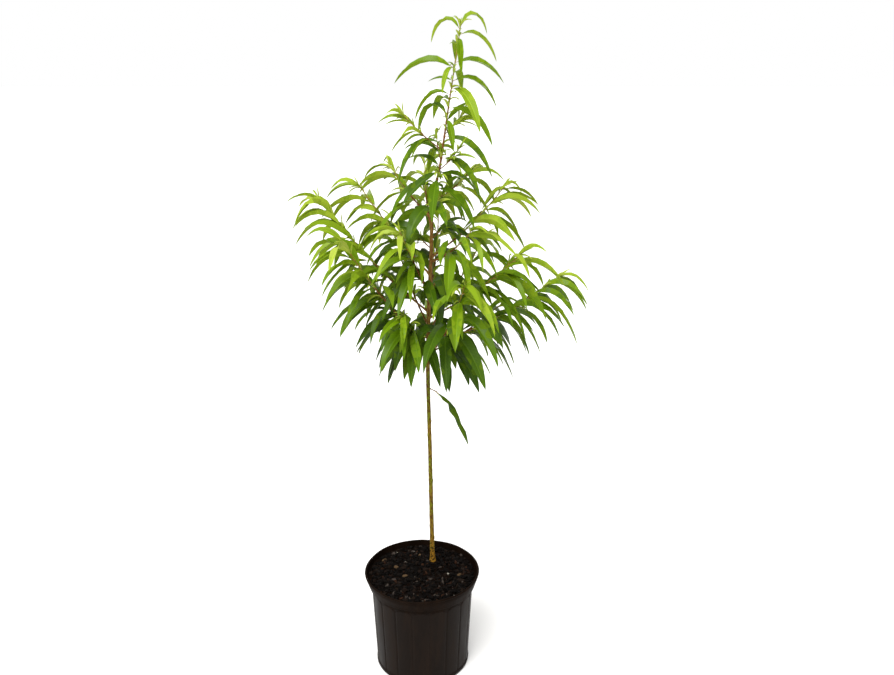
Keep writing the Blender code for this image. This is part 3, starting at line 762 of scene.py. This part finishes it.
def makeBark():
    # smooth young bark: olive with brown flecks low down, red brown higher up, and a waxy sheen
    material, tree, shader = newMaterial("smooth young bark", "#6e6526", 0.55, 0.08)
    place = addNode(tree, "TexCoord")
    split = addNode(tree, "SeparateXYZ", {0: (place, "Object")})
    # flecks about 3 mm wide and three times as high
    tall = addNode(tree, "Mapping", {"Vector": (place, "Object"), "Scale": (1.0, 1.0, 0.3)})
    fine = {"Vector": (tall, 0), "Scale": 330.0, "Detail": 4.0, "Roughness": 0.65}
    flecks = addNode(tree, "TexNoise", fine)
    fleck = addNode(tree, "MapRange", {"Value": (flecks, 0), "From Min": 0.46, "From Max": 0.56})
    patches = addNode(tree, "TexNoise", {"Vector": (tall, 0), "Scale": 60.0, "Detail": 2.0})
    patch = addNode(tree, "MapRange", {"Value": (patches, 0), "From Min": 0.40, "From Max": 0.60})
    # its foot is orange brown with nearly black spots about 4 mm wide
    spots = addNode(tree, "TexNoise", {"Vector": (place, "Object"), "Scale": 240.0, "Detail": 3.0})
    spot = addNode(tree, "MapRange", {"Value": (spots, 0), "From Min": 0.50, "From Max": 0.57})
    low = {"Value": (split, 2), "From Min": 0.340, "From Max": 0.270, "To Max": 0.9}
    foot = addNode(tree, "MapRange", low)
    # the olive gives way to red brown where the crown begins
    climb = addNode(tree, "MapRange", {"Value": (split, 2), "From Min": 0.74, "From Max": 0.92})
    mixes = {}
    for name, amount, first, second in (
        ("olive", patch, "#5f6a10", "#76601a"),
        ("flecked", fleck, "olive", "#4c300e"),
        ("red", fleck, "#94703a", "#785024"),
        ("stem", climb, "flecked", "red"),
        ("spotted", spot, "#86601c", "#26170a"),
        ("whole", foot, "stem", "spotted"),
    ):
        first, second = [(mixes[side], 2) if side in mixes else side for side in (first, second)]
        mixes[name] = addNode(tree, "Mix", {0: (amount, 0), 6: first, 7: second}, data_type="RGBA")
    bump = addNode(tree, "Bump", {"Height": (flecks, 0), "Strength": 0.5, "Distance": 0.0005})
    setInputs(tree, shader, {"Base Color": (mixes["whole"], 2), "Normal": (bump, 0)})
    return material


# Crown: the rule that the solids follow, written again


class Shoot(NamedTuple):
    height: float  # of its foot on the trunk
    heading: float  # degrees, from +X towards +Y
    reach: float  # from the trunk to its tip, level
    lift: float  # from its foot to its tip
    bare: float  # share of its length that is a bare bough
    leaves: int
    leaf: float  # length of its longest leaves
    droop: float = 1.9  # how far they bend down
    phase: float = 0.0  # degrees, of its first leaf round the twig
    girth: float = 0.0042  # diameter at its foot
    bow: float = 0.022  # how far it bends to its left, as a share of its length
    lowest: float = 0.702  # nothing on it hangs lower
    breadth: float = 0.20  # of its leaves, as a share of their length


shoots = {
    "left_long": Shoot(0.892, 178, 0.238, 0.256, 0.17, 22, 0.142, 2.2, 20),
    "left_upper": Shoot(0.979, 163, 0.166, 0.194, 0.15, 17, 0.136, 2.1, 80, bow=-0.02),
    "left_high": Shoot(1.109, 150, 0.104, 0.104, 0.18, 10, 0.122, 2.0, 10),
    "left_front": Shoot(0.812, 207, 0.200, 0.262, 0.16, 21, 0.150, 2.3, 60, bow=-0.02),
    "left_low": Shoot(0.802, 154, 0.171, 0.172, 0.18, 15, 0.140, 2.4, 130),
    "front_left": Shoot(0.930, 236, 0.105, 0.165, 0.16, 13, 0.140, 2.2, 40),
    "right_upper": Shoot(1.020, 15, 0.168, 0.149, 0.24, 15, 0.138, 2.1, 30, bow=-0.02),
    "right_high": Shoot(1.140, 35, 0.104, 0.062, 0.18, 9, 0.120, 1.9, 100),
    "right_mid": Shoot(0.877, 335, 0.214, 0.167, 0.20, 18, 0.154, 2.4, 70),
    "right_long": Shoot(0.812, 6, 0.299, 0.153, 0.30, 19, 0.162, 2.6, 0, bow=-0.02),
    "right_inner": Shoot(1.009, 305, 0.150, 0.096, 0.18, 13, 0.138, 2.1, 150),
    "right_low": Shoot(0.790, 18, 0.172, 0.098, 0.18, 12, 0.142, 2.5, 45),
    "front_right": Shoot(0.785, 292, 0.212, 0.221, 0.20, 18, 0.158, 2.3, 90),
    "front_low": Shoot(0.806, 248, 0.128, 0.112, 0.18, 12, 0.136, 2.8, 22, bow=-0.02),
    "back_left": Shoot(0.860, 118, 0.195, 0.215, 0.16, 16, 0.144, 2.2, 50),
    "back_mid": Shoot(0.935, 84, 0.190, 0.195, 0.16, 15, 0.140, 2.1, 110, bow=-0.02),
    "back_right": Shoot(0.845, 50, 0.205, 0.185, 0.18, 16, 0.146, 2.3, 25),
    "back_low": Shoot(0.795, 92, 0.165, 0.095, 0.18, 12, 0.144, 2.4, 75, bow=-0.02),
    "back_high": Shoot(1.085, 98, 0.120, 0.125, 0.16, 11, 0.124, 2.0, 140),
}
spurs = {
    "spur_front": Shoot(1.120, 282, 0.022, 0.026, 0.0, 4, 0.122, 2.6, 0, 0.0030, breadth=0.23),
    "spur_right": Shoot(1.062, 340, 0.024, 0.024, 0.0, 4, 0.124, 2.3, 60, 0.0030, breadth=0.23),
    "spur_left": Shoot(1.040, 205, 0.024, 0.024, 0.0, 4, 0.128, 2.4, 120, 0.0030, breadth=0.24),
    "spur_back": Shoot(1.000, 70, 0.024, 0.022, 0.0, 4, 0.128, 2.3, 30, 0.0030, breadth=0.24),
    "spur_low_left": Shoot(0.955, 188, 0.026, 0.020, 0.0, 4, 0.136, 2.9, 90, 0.0032, breadth=0.26),
    "spur_low_front": Shoot(0.948, 300, 0.026, 0.020, 0.0, 4, 0.134, 2.9, 150, 0.0032, breadth=0.26),
    "skirt_left": Shoot(0.830, 222, 0.048, 0.020, 0.0, 8, 0.156, 3.8, 10, 0.0036, lowest=0.684, breadth=0.24),
    "skirt_right": Shoot(0.822, 316, 0.048, 0.018, 0.0, 8, 0.150, 3.7, 75, 0.0036, lowest=0.684, breadth=0.24),
    "skirt_back": Shoot(0.822, 66, 0.052, 0.022, 0.0, 8, 0.142, 3.2, 40, 0.0036, breadth=0.22),
    "low_leaf": Shoot(0.707, 350, 0.022, -0.010, 0.0, 1, 0.184, 2.85, 305, 0.0028, lowest=0.550, breadth=0.13),
}
leader = Shoot(1.165, 0, 0.0, 0.347, 0.0, 22, 0.140)
# height of its foot, heading and first rise in degrees, length, and how far it bends down
leaderLeaves = (
    (1.508, 8, 66, 0.090, 2.3), (1.503, 178, 60, 0.094, 2.6), (1.493, 6, 24, 0.108, 2.6),
    (1.488, 275, -15, 0.096, 2.4), (1.470, 92, 34, 0.100, 2.2), (1.438, 2, 18, 0.120, 1.6),
    (1.427, 180, 30, 0.144, 1.6), (1.427, 235, 20, 0.075, 4.0), (1.415, 78, 20, 0.112, 2.0),
    (1.400, 5, 27, 0.126, 2.4), (1.402, 175, 22, 0.054, 0.9), (1.385, 308, 10, 0.138, 2.6),
    (1.372, 188, 32, 0.106, 2.8), (1.360, 112, 22, 0.116, 2.0), (1.352, 168, 56, 0.074, 1.0),
    (1.345, 350, 8, 0.134, 2.4), (1.330, 165, 60, 0.108, 2.9), (1.322, 285, -10, 0.086, 2.2),
    (1.318, 40, 40, 0.074, 0.4), (1.286, 338, 2, 0.146, 1.9), (1.300, 80, 15, 0.124, 2.0),
    (1.268, 198, 34, 0.158, 3.3), (1.250, 108, 18, 0.126, 2.0), (1.246, 168, 46, 0.094, 1.3),
    (1.240, 330, 8, 0.148, 2.8), (1.222, 150, 38, 0.092, 1.1), (1.212, 208, -18, 0.112, 0.9),
    (1.204, 72, 12, 0.128, 2.1), (1.200, 15, 22, 0.116, 2.0), (1.195, 262, -12, 0.116, 2.0),
    (1.180, 185, 20, 0.130, 2.4), (1.176, 345, 0, 0.136, 2.6),
)
leaderBreadth = 0.20
leaderFacing = (0.30, 0.85)  # how far the upper side of a leaf turns to the front
leaderTwigs = (
    Shoot(1.257, 190, 0.082, 0.074, 0.0, 8, 0.076, 1.5, 200, 0.0026),
    Shoot(1.290, 25, 0.040, 0.036, 0.0, 5, 0.054, 1.2, 60, 0.0020),
    Shoot(1.215, 320, 0.050, 0.044, 0.0, 6, 0.066, 1.4, 90, 0.0022),
    Shoot(1.235, 100, 0.055, 0.050, 0.0, 6, 0.066, 1.4, 20, 0.0022),
)

leafTurn = math.radians(144.0)  # two turns for each five leaves
leafValues = {
    # the solids' outline, by share of the length
    "solidSections": ((0.24, 0.84), (0.50, 1.0), (0.76, 0.60)),
    "middleSections": ((0.34, 1.0), (0.70, 0.74)),
    "shortSections": ((0.46, 1.0),),
    "solidThickness": 0.012,
    "leastThickness": 0.0008,
    "solidFold": 0.22,
    "steps": 24,  # in which its course is worked out
    "gap": 0.0006,
    "rootShare": 0.42,
    "free": 0.125,  # share of a leaf that may lie against its own twig's other leaves
    "longLeaf": 0.150,
    "shortLeaf": 0.055,
    "spread": (60, 30, 14),  # degrees from the twig: at its foot, how much less at its tip, and chance
    "outward": 0.38,  # how far leaves lean the way that their shoot heads
    "upright": 0.35,  # a leaf that is more so is turned outwards
    "lengths": (0.80, 1.10),
    "widths": (0.92, 1.08),
    "droopChance": 0.45,
    "tries": (0.0, 16.0, -16.0, 32.0, -32.0, 50.0, -50.0, 72.0, -72.0),
    "roll": 0.65,  # radians, the most that a blade rolls to one side
    "level": 0.35,  # how far it comes level again towards its tip
    "crownFoot": 0.702,
    # the real blade
    "sections": (0.0, 0.05, 0.12, 0.22, 0.34, 0.48, 0.62, 0.75, 0.86, 0.94),
    "broadest": 0.38,
    "fullSize": 0.10,  # length from which its stalk and thickness are whole
    "stalk": 0.065,  # share of the leaf
    "stalkRadius": 0.0008,
    "thickness": 0.0006,
    "thinnest": 0.00015,
    "fold": (12.0, 26.0),  # degrees that each half stands up from the midrib on an old leaf
    "youngFold": 26.0,  # and how much more on a young one
    "twist": 0.5,
    "wave": 0.10,
    "waveCount": (2.0, 3.5),
    "lowLeafCurl": 3.0,  # how much more the lowest leaf is twisted and waved than the others
    "curlTurns": 3.6,  # how often it sways to and fro along its length
    "curlSway": (0.3, 0.24),  # how far it leans over, and how far it sways about that
    # tones, from 0, old and dark, to 1, just opened
    "spurTone": -0.34,
    "shootTone": 0.16,
    "toneAlong": 0.58,  # how much paler from a twig's foot to its tip
    "toneUp": 1.55,  # how much paler for each metre up
    "toneHeight": 1.00,
    "leaderTone": (0.34, 0.42),
    "sprigTone": (0.80, 0.12),
    "palest": 0.76,  # of the full leaves
    "toneChance": 0.10,
}
crownOutline = (
    # height, and the crown's radius there
    (0.700, 0.130), (0.780, 0.300), (0.860, 0.400), (0.960, 0.430), (1.080, 0.385),
    (1.180, 0.310), (1.260, 0.220), (1.360, 0.215), (1.560, 0.200),
)
leafTints = (
    # name, colour of the upper side, colour of the underside, record slot
    ("oldDark", "#2e4706", "#445b10", "old_leaves"),
    ("oldDeep", "#3b5706", "#526a13", "old_leaves"),
    ("fullGreen", "#4a6806", "#5f7a14", "leaves"),
    ("freshGreen", "#5e7b08", "#728b18", "leaves"),
    ("brightGreen", "#78911a", "#889c2a", "young_leaves"),
    ("youngGreen", "#97a936", "#a2b046", "young_leaves"),
)


def crownRadius(height):
    for (low, a), (high, b) in zip(crownOutline, crownOutline[1:]):
        if height <= high:
            return a + (b - a) * max(0.0, (height - low) / (high - low))
    return crownOutline[-1][1]


def levelAhead(degrees):
    angle = math.radians(degrees)
    return Vector((math.cos(angle), math.sin(angle), 0.0))


def shootLength(shoot):
    return math.hypot(shoot.reach, shoot.lift)


def shootPoint(shoot, share):
    # a side shoot sags a little below the straight line, then turns up
    foot, _ = trunkAt(shoot.height)
    ahead = levelAhead(shoot.heading)
    side = Vector((-ahead.y, ahead.x, 0.0))
    bow = 4 * share * (1 - share) * shootLength(shoot)
    climb = shoot.lift * share - boughValues["sag"] * bow
    return foot + ahead * (shoot.reach * share) + up * climb + side * (shoot.bow * bow)


def shootAhead(shoot, share):
    return (shootPoint(shoot, share + 0.01) - shootPoint(shoot, share - 0.01)).normalized()


def shootRadius(shoot, share):
    tip = boughValues["tipRadius"]
    return tip + (shoot.girth / 2 - tip) * max(0.0, 1 - share) ** 0.8


def shootHeading(shoot):
    return levelAhead(shoot.heading) if shoot.reach else Vector((0.0, 0.0, 0.0))


def shootStem(shoot):
    def stemAt(share):
        radius = shootRadius(shoot, share) * twigValues["girth"]
        return shootPoint(shoot, share), shootAhead(shoot, share), radius

    return stemAt


def leaderStem(share):
    height = trunkValues["top"] + leader.lift * share
    point, radius = trunkAt(height)
    above, _ = trunkAt(height + 0.001)
    return point, (above - point).normalized(), radius * twigValues["leaderGirth"]


class Leaf(NamedTuple):
    root: Vector
    ahead: Vector
    across: Vector
    length: float
    width: float
    droop: float


def leafSize(share):
    if share < 0.45:
        return 0.86 + 0.31 * share
    return 1.0 - 0.38 * ((share - 0.45) / 0.55) ** 6


def leafAt(root, stem, heading, share, turn, shoot, chance):
    v = leafValues
    side = stem.cross(up)
    if side.length < 1e-6:
        side = Vector((1.0, 0.0, 0.0))
    side.normalize()
    top = side.cross(stem).normalized()
    atFoot, less, either = v["spread"]
    spread = math.radians(atFoot - less * share + chance.uniform(-either, either))
    outward = side * math.cos(turn) + top * math.sin(turn)
    ahead = stem * math.cos(spread) + outward * math.sin(spread) + heading * v["outward"]
    if Vector((ahead.x, ahead.y, 0.0)).length < v["upright"]:
        ahead += (heading + outward * 0.2) * v["upright"]
    ahead.normalize()
    across = stem.cross(ahead)
    if across.length < 0.15:
        across = ahead.cross(up)
    if across.cross(ahead).dot(stem) < 0:
        across.negate()
    length = shoot.leaf * leafSize(share) * chance.uniform(*v["lengths"])
    width = length * shoot.breadth * chance.uniform(*v["widths"])
    droop = shoot.droop * (1 - 0.25 * share) + chance.uniform(-v["droopChance"], v["droopChance"])
    roll = chance.uniform(-v["roll"], v["roll"])
    return Leaf(root, ahead, Quaternion(ahead, roll) @ across.normalized(), length, width, droop)


def leaderLeaf(row, index):
    # one of the leader's leaves, its upper side turned a little to the front
    height, heading, rise, length, droop = row
    root, _ = trunkAt(height)
    chance = random.Random(100 + index)
    rise = math.radians(rise)
    ahead = levelAhead(heading) * math.cos(rise) + up * math.sin(rise)
    across = ahead.cross(up - Vector((0.0, 1.0, 0.0)) * chance.uniform(*leaderFacing)).normalized()
    width = length * leaderBreadth * chance.uniform(*leafValues["widths"])
    return Leaf(root, ahead, across, length, width, droop)


def leafFrames(leaf, shares):
    # points of the midrib, each with its two cross directions
    steps = leafValues["steps"]
    point = leaf.root.copy()
    frames = []
    level = leaf.ahead.cross(up).normalized()
    if level.dot(leaf.across) < 0:
        level.negate()
    for i in range(steps + 1):
        share = i / steps
        ahead = (leaf.ahead - up * (leaf.droop * share)).normalized()
        across = leaf.across.lerp(level, leafValues["level"] * share)
        across = (across - ahead * across.dot(ahead)).normalized()
        frames.append((point.copy(), across, across.cross(ahead)))
        point += ahead * (leaf.length / steps)
    placed = []
    for share in shares:
        low = min(int(share * steps), steps - 1)
        t = share * steps - low
        placed.append(tuple(a.lerp(b, t) for a, b in zip(frames[low], frames[low + 1])))
    return placed


def solidRings(leaf, rootRadius, spare=0.0):
    # the solids' own blade, which holds the room that the real one fills
    v = leafValues
    sections = v["middleSections"]
    if leaf.length > v["longLeaf"]:
        sections = v["solidSections"]
    elif leaf.length < v["shortLeaf"]:
        sections = v["shortSections"]
    shares = [round(share * v["steps"]) / v["steps"] for share, _ in sections]
    frames = leafFrames(leaf, [0.0] + shares + [1.0])
    root, across, over = frames[0]
    rings = [[root + across * rootRadius, root - across * rootRadius, root - over * rootRadius]]
    for (point, across, over), (_, width) in zip(frames[1:-1], sections):
        half = leaf.width * width / 2 + spare
        thick = max(v["solidThickness"] * leaf.length, v["leastThickness"]) + spare
        edge = over * (half * v["solidFold"] + spare)
        rings.append([point + across * half + edge, point - across * half + edge, point - over * thick])
    return rings + [[frames[-1][0]]]


class Space:
    # what the crown holds so far, so that no new leaf is let through it

    def __init__(self):
        self.held = []

    def hold(self, owner, points, faces):
        self.held.append((owner, *boxOf(points), BVHTree.FromPolygons(points, faces)))

    def add(self, owner, rings):
        self.hold(owner, flat(rings), ringFaces(rings)[:-1])

    def takes(self, owner, whole, blade, lowest):
        points = flat(whole)
        low, high = boxOf(points)
        if low[2] < lowest or any(point.xy.length > crownRadius(point.z) for point in points):
            return False
        wholeTree, bladeTree = [BVHTree.FromPolygons(flat(r), ringFaces(r)[:-1]) for r in (whole, blade)]
        for other, lower, upper, held in self.held:
            if other == f"{owner} twig" or any(low[k] > upper[k] or high[k] < lower[k] for k in range(3)):
                continue
            tree = bladeTree if other == owner else wholeTree
            if tree.overlap(held):
                return False
        return True


def roomFor(space, name, leaf, rootRadius, lowest):
    whole = solidRings(leaf, rootRadius, leafValues["gap"])
    start = leafFrames(leaf, [leafValues["free"]])[0][0] - leaf.root
    blade = [[point + start for point in whole[0]], *whole[1:]]
    if not space.takes(name, whole, blade, lowest):
        return False
    space.add(name, whole)
    return True


def bladeWidth(t):
    # soon broad, then a long taper to a fine tip
    broad = leafValues["broadest"]
    if t < broad:
        return math.sin(math.pi / 2 * t / broad) ** 0.8
    return math.cos(math.pi / 2 * (t - broad) / (1 - broad)) ** 0.85


def addLeaf(crown, leaf, tone, chance, slim=1.0, curl=1.0):
    # a folded blade on its stalk: two edges, a midrib and a keel at each section
    v = leafValues
    tint = pickTint(tone, chance)
    shares = [0.0] + [v["stalk"] + (1 - v["stalk"]) * t for t in v["sections"]] + [1.0]
    frames = leafFrames(leaf, shares)
    small = min(1.0, leaf.length / v["fullSize"])
    stalk = v["stalkRadius"] * (0.45 + 0.55 * small) * curl**0.6
    fold = math.radians(chance.uniform(*v["fold"]) + v["youngFold"] * max(0.0, min(1.0, tone)))
    twist = chance.uniform(-v["twist"], v["twist"]) * curl
    waves = []
    for _ in range(2):
        depth = chance.uniform(0.4, 1.0) * v["wave"] * curl**1.6
        waves.append((depth, chance.uniform(*v["waveCount"]), chance.uniform(0, 6.28)))
    root, across, over = frames[0]
    points = [root + across * stalk, root + over * stalk, root - across * stalk, root - over * stalk]
    places = [(x, 0.0) for x in (0.0, 0.5, 1.0, 0.5)]
    lean, swing = v["curlSway"]
    for (point, across, over), t in zip(frames[1:-1], v["sections"]):
        sway = (curl - 1) * (lean + swing * math.sin(2 * math.pi * v["curlTurns"] * t))
        turned = Quaternion(across.cross(over), twist * t + sway)
        across, over = turned @ across, turned @ over
        half = max(leaf.width * slim * bladeWidth(t) / 2, stalk)
        thick = max(v["thickness"] * (1 - 0.6 * t) * small, stalk * (1 - 3 * t), v["thinnest"])
        for side, (depth, count, phase) in zip((1.0, -1.0), waves):
            wave = depth * math.sin(2 * math.pi * count * t + phase) * min(1.0, t * 4)
            angle = fold * min(1.0, t * 6) + wave
            points.append(point + across * (half * side * math.cos(angle)) + over * (half * math.sin(angle)))
            if side > 0:
                points.append(point + over * thick * 0.4)
        points.append(point - over * thick)
        places += [(x, t) for x in (0.0, 0.5, 1.0, 0.5)]
    tip = len(points)
    points.append(frames[-1][0])
    places.append((0.5, 1.0))
    faces, slots = [[3, 2, 1, 0]], [2]
    sides = (0, 0, 1, 1)  # two faces of each ring lie on the upper side and two underneath
    for i in range(len(v["sections"])):
        for k in range(4):
            j = (k + 1) % 4
            faces.append([4 * i + k, 4 * i + j, 4 * (i + 1) + j, 4 * (i + 1) + k])
        slots += sides if i else (2, 2, 2, 2)
    faces += [[tip - 4 + k, tip - 4 + (k + 1) % 4, tip] for k in range(4)]
    slots += sides
    crown["leaves"][tint].add(points, places, faces, slots)


def pickTint(tone, chance):
    spread = leafValues["toneChance"]
    count = len(leafTints)
    return max(0, min(count - 1, int((tone + chance.uniform(-spread, spread)) * count)))


def growLeaderLeaves(crown):
    v = leafValues
    for index, row in enumerate(leaderLeaves):
        _, radius = trunkAt(row[0])
        leaf = leaderLeaf(row, index)
        root = radius * twigValues["leaderGirth"] * v["rootShare"]
        if roomFor(crown["space"], "leader", leaf, root, v["crownFoot"]):
            share = (row[0] - trunkValues["top"]) / leader.lift
            darkest, more = v["leaderTone"]
            addLeaf(crown, leaf, darkest + more * share, random.Random(300 + index))
            _, stem, _ = leaderStem(share)
            heading = leaf.ahead * 0.3
            crown["sprigs"].append(("leader", leader, leaf.root, stem, heading, 0.0, share, 1000 + index))


class Twig(NamedTuple):
    owner: str  # its mass of foliage
    shoot: Shoot
    stemAt: object  # gives the point, direction and radius at a share of its length
    start: float  # share at which it begins
    first: float  # and at which its leaves begin
    seed: int
    tone: float  # of its first leaves
    thin: float  # how thick it is beside the solids' twig


def listTwigs():
    # the leader, its side twigs, the spurs and the side shoots
    twigs = [Twig("leader", leader, leaderStem, 0.0, 0.02, 1, 0.0, 0.83)]
    for i, shoot in enumerate(leaderTwigs):
        twigs.append(Twig("leader", shoot, shootStem(shoot), 0.0, 0.35, 2 + i, 0.0, 0.75))
    for i, (name, shoot) in enumerate({**spurs, **shoots}.items()):
        first = shoot.bare + 0.02 if shoot.bare else 0.45
        tone = leafValues["spurTone" if name in spurs else "shootTone"]
        twigs.append(Twig(name, shoot, shootStem(shoot), shoot.bare, first, 10 + i, tone, 0.74))
    return twigs


def leafShare(twig, i):
    # where the leaf of this number stands, as a share of its twig
    last = 0.985
    return min(twig.first + (last - twig.first) * (i + 0.35) / (twig.shoot.leaves - 0.4), last)


def growLeaves(crown, twig):
    # one twig's leaves, each turned about it until it finds room, darkest near the trunk and low down
    v = leafValues
    shoot, name = twig.shoot, twig.owner
    heading = shootHeading(shoot)
    for i in range(shoot.leaves):
        share = leafShare(twig, i)
        seed = 1000 * twig.seed + i
        point, ahead, radius = twig.stemAt(share)
        for extra in v["tries"]:
            chance = random.Random(seed)
            turn = math.radians(shoot.phase + extra) + i * leafTurn + chance.uniform(-0.2, 0.2)
            leaf = leafAt(point, ahead, heading, share, turn, shoot, chance)
            if roomFor(crown["space"], name, leaf, radius * v["rootShare"], shoot.lowest):
                tone = twig.tone + v["toneAlong"] * share + v["toneUp"] * (point.z - v["toneHeight"])
                curl = v["lowLeafCurl"] if name == "low_leaf" else 1.0
                addLeaf(crown, leaf, min(v["palest"], tone), chance, 1.0 - 0.06 * share, curl)
                crown["sprigs"].append((name, shoot, point, ahead, heading, turn, share, seed))
                break


sprigValues = {
    "chance": 0.75,  # of a sprig in a leaf's axil
    "leaf": (0.022, 0.050),
    "droop": 1.3,
    "tipLeaves": 4,
    "tipLeaf": (0.016, 0.040),
    "tipDroop": 0.9,
}


def growSprig(crown, name, shoot, point, ahead, heading, turn, share, seed):
    # two or three small young leaves from the bud in a leaf's axil
    v = sprigValues
    chance = random.Random(seed + 500000)
    if chance.random() > v["chance"]:
        return 0
    grown = 0
    darkest, more = leafValues["sprigTone"]
    for _ in range(chance.choice((1, 2, 2, 3))):
        small = shoot._replace(leaf=chance.uniform(*v["leaf"]), droop=v["droop"])
        leaf = leafAt(point, ahead, heading * 0.3, 0.75, turn + chance.uniform(-0.9, 0.9), small, chance)
        blade = solidRings(leaf, 0.0004)[1:]
        if crown["space"].takes(f"{name} sprig", blade, blade, shoot.lowest):
            crown["space"].add(f"{name} sprig", blade)
            addLeaf(crown, leaf, darkest + more * share, chance)
            grown += 1
    return grown


def growTip(crown, twig):
    # the bud at a shoot's end: a few small upright leaves
    v = sprigValues
    chance = random.Random(twig.seed + 900000)
    point, ahead, _ = twig.stemAt(1.0)
    heading = shootHeading(twig.shoot) * 0.2
    for k in range(v["tipLeaves"]):
        length = chance.uniform(*v["tipLeaf"])
        small = twig.shoot._replace(leaf=length / leafSize(1.0), droop=v["tipDroop"])
        addLeaf(crown, leafAt(point, ahead, heading, 1.0, k * leafTurn + 0.4, small, chance), 1.0, chance)


twigValues = {
    "girth": 1.35,  # of the solids' twigs, beside the course that their bough follows
    "leaderGirth": 1.2,
    "sides": 7,
    "ringStep": 0.0035,
    "nodeSwell": 0.30,
    "nodeLength": 0.0028,
    "greenFrom": 0.62,  # share of a shoot past which its bark is still green
}


def addTwig(heap, twig):
    # one twig, with a swelling at each of its leaves
    v = twigValues
    length = shootLength(twig.shoot)
    steps = max(6, round(length * (1.0 - twig.start) / v["ringStep"]))
    shares = [twig.start + (1.0 - twig.start) * i / steps for i in range(steps + 1)]
    nodes = [leafShare(twig, i) for i in range(twig.shoot.leaves)]
    centres, radii = [], []
    for share in shares:
        point, _, radius = twig.stemAt(share)
        near = min(abs(share - node) for node in nodes) * length
        centres.append(point)
        radii.append(radius * twig.thin * (1 + v["nodeSwell"] * math.exp(-((near / v["nodeLength"]) ** 2))))
    addTube(heap, tubeRings(centres, radii, v["sides"]), [int(share > v["greenFrom"]) for share in shares])


def holdTwig(space, twig):
    shares = [twig.start + (1 - twig.start) * i / 8 for i in range(9)]
    centres, _, radii = zip(*(twig.stemAt(share) for share in shares))
    space.add(f"{twig.owner} twig", tubeRings(centres, radii, 4 if twig.shoot is leader else 3))


def makeCrown():
    crown = {"leaves": [Heap() for _ in leafTints], "space": Space(), "sprigs": []}
    twigs = listTwigs()
    for name in ["trunk"] + [f"bough_{name}" for name in shoots]:
        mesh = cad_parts[name].data
        faces = [tuple(face.vertices) for face in mesh.polygons]
        crown["space"].hold(name, [vertex.co.copy() for vertex in mesh.vertices], faces)
    for twig in twigs:
        holdTwig(crown["space"], twig)
    growLeaderLeaves(crown)
    for twig in twigs:
        if twig.shoot is not leader:
            growLeaves(crown, twig)
    print("leaves placed by the rule:", len(crown["sprigs"]))
    print("small leaves in the axils:", sum(growSprig(crown, *sprig) for sprig in crown["sprigs"]))
    bark = Heap()
    for twig in twigs:
        addTwig(bark, twig)
        if twig.owner not in spurs:
            growTip(crown, twig)
    masses = sorted(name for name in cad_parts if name.startswith("foliage_"))
    # this year's wood: smooth, with fine lines and pale pores
    materials = [
        makeGrainy(name, tints[0], 0.55, 0.08, 420.0, 2.0, tints, (0.42, 0.62))
        for name, *tints in (
            ("red brown twig bark", "#80552c", "#63401f"),
            ("green twig bark", "#8a7f2e", "#7d6a2c"),
        )
    ]
    finishPiece(bark.toPiece(60.0), "twigs", materials, masses)
    stalk, _, _ = newMaterial("leaf stalk", "#9a6a3a", 0.5)
    for heap, (name, upper, lower, slot) in zip(crown["leaves"], leafTints):
        materials = [makeLeafTop(name, upper), makeLeafUnder(name, lower), stalk]
        finishPiece(heap.toPiece(28.0), f"leaves_{name}", materials, masses)


def leafPattern(tree):
    # 1 on the midrib and a little on the side veins, from the blade's own UV map
    place = addNode(tree, "UVMap", uv_map="leafPlace")
    split = addNode(tree, "SeparateXYZ", {0: (place, 0)})
    centred = addNode(tree, "Math", {0: (split, 0), 1: 0.5}, operation="SUBTRACT")
    away = addNode(tree, "Math", {0: (centred, 0)}, operation="ABSOLUTE")
    midrib = addNode(tree, "MapRange", {"Value": (away, 0), "From Min": 0.085, "From Max": 0.015})
    # about eighteen veins a side, which leave the midrib at a slant
    slant = addNode(tree, "Math", {0: (away, 0), 1: -0.22, 2: (split, 1)}, operation="MULTIPLY_ADD")
    turns = addNode(tree, "Math", {0: (slant, 0), 1: 18 * 2 * math.pi}, operation="MULTIPLY")
    wave = addNode(tree, "Math", {0: (turns, 0)}, operation="SINE")
    veins = addNode(tree, "MapRange", {"Value": (wave, 0), "From Min": 0.6, "From Max": 1.0, "To Max": 0.30})
    return addNode(tree, "Math", {0: (midrib, 0), 1: (veins, 0)}, operation="MAXIMUM")


def makeLeafTop(name, colour):
    # a peach leaf's upper side: a thin wax that gives a soft gloss, over puckered green tissue
    material, tree, shader = newMaterial(f"{name} leaf upper side", colour, 0.32, 0.12)
    pattern = leafPattern(tree)
    pale = [c * 1.3 + more for c, more in zip(linear(colour), (0.014, 0.016, 0.002))]
    mix = addNode(tree, "Mix", {0: (pattern, 0), 6: colour, 7: (*pale, 1)}, data_type="RGBA")
    bump = addNode(tree, "Bump", {"Height": (pattern, 0), "Strength": 0.35, "Distance": 0.0006}, invert=True)
    setInputs(tree, shader, {"Base Color": (mix, 2), "Normal": (bump, 0)})
    return material


def makeLeafUnder(name, colour):
    # the underside: paler and matte, with the veins standing out
    material, tree, shader = newMaterial(f"{name} leaf underside", colour, 0.62, 0.03)
    height = {"Height": (leafPattern(tree), 0), "Strength": 0.4, "Distance": 0.0006}
    setInputs(tree, shader, {"Normal": (addNode(tree, "Bump", height), 0)})
    return material


makeCamera()
makeStage()
makePot()
makeSoil()
makeTrunk()
makeCrown()
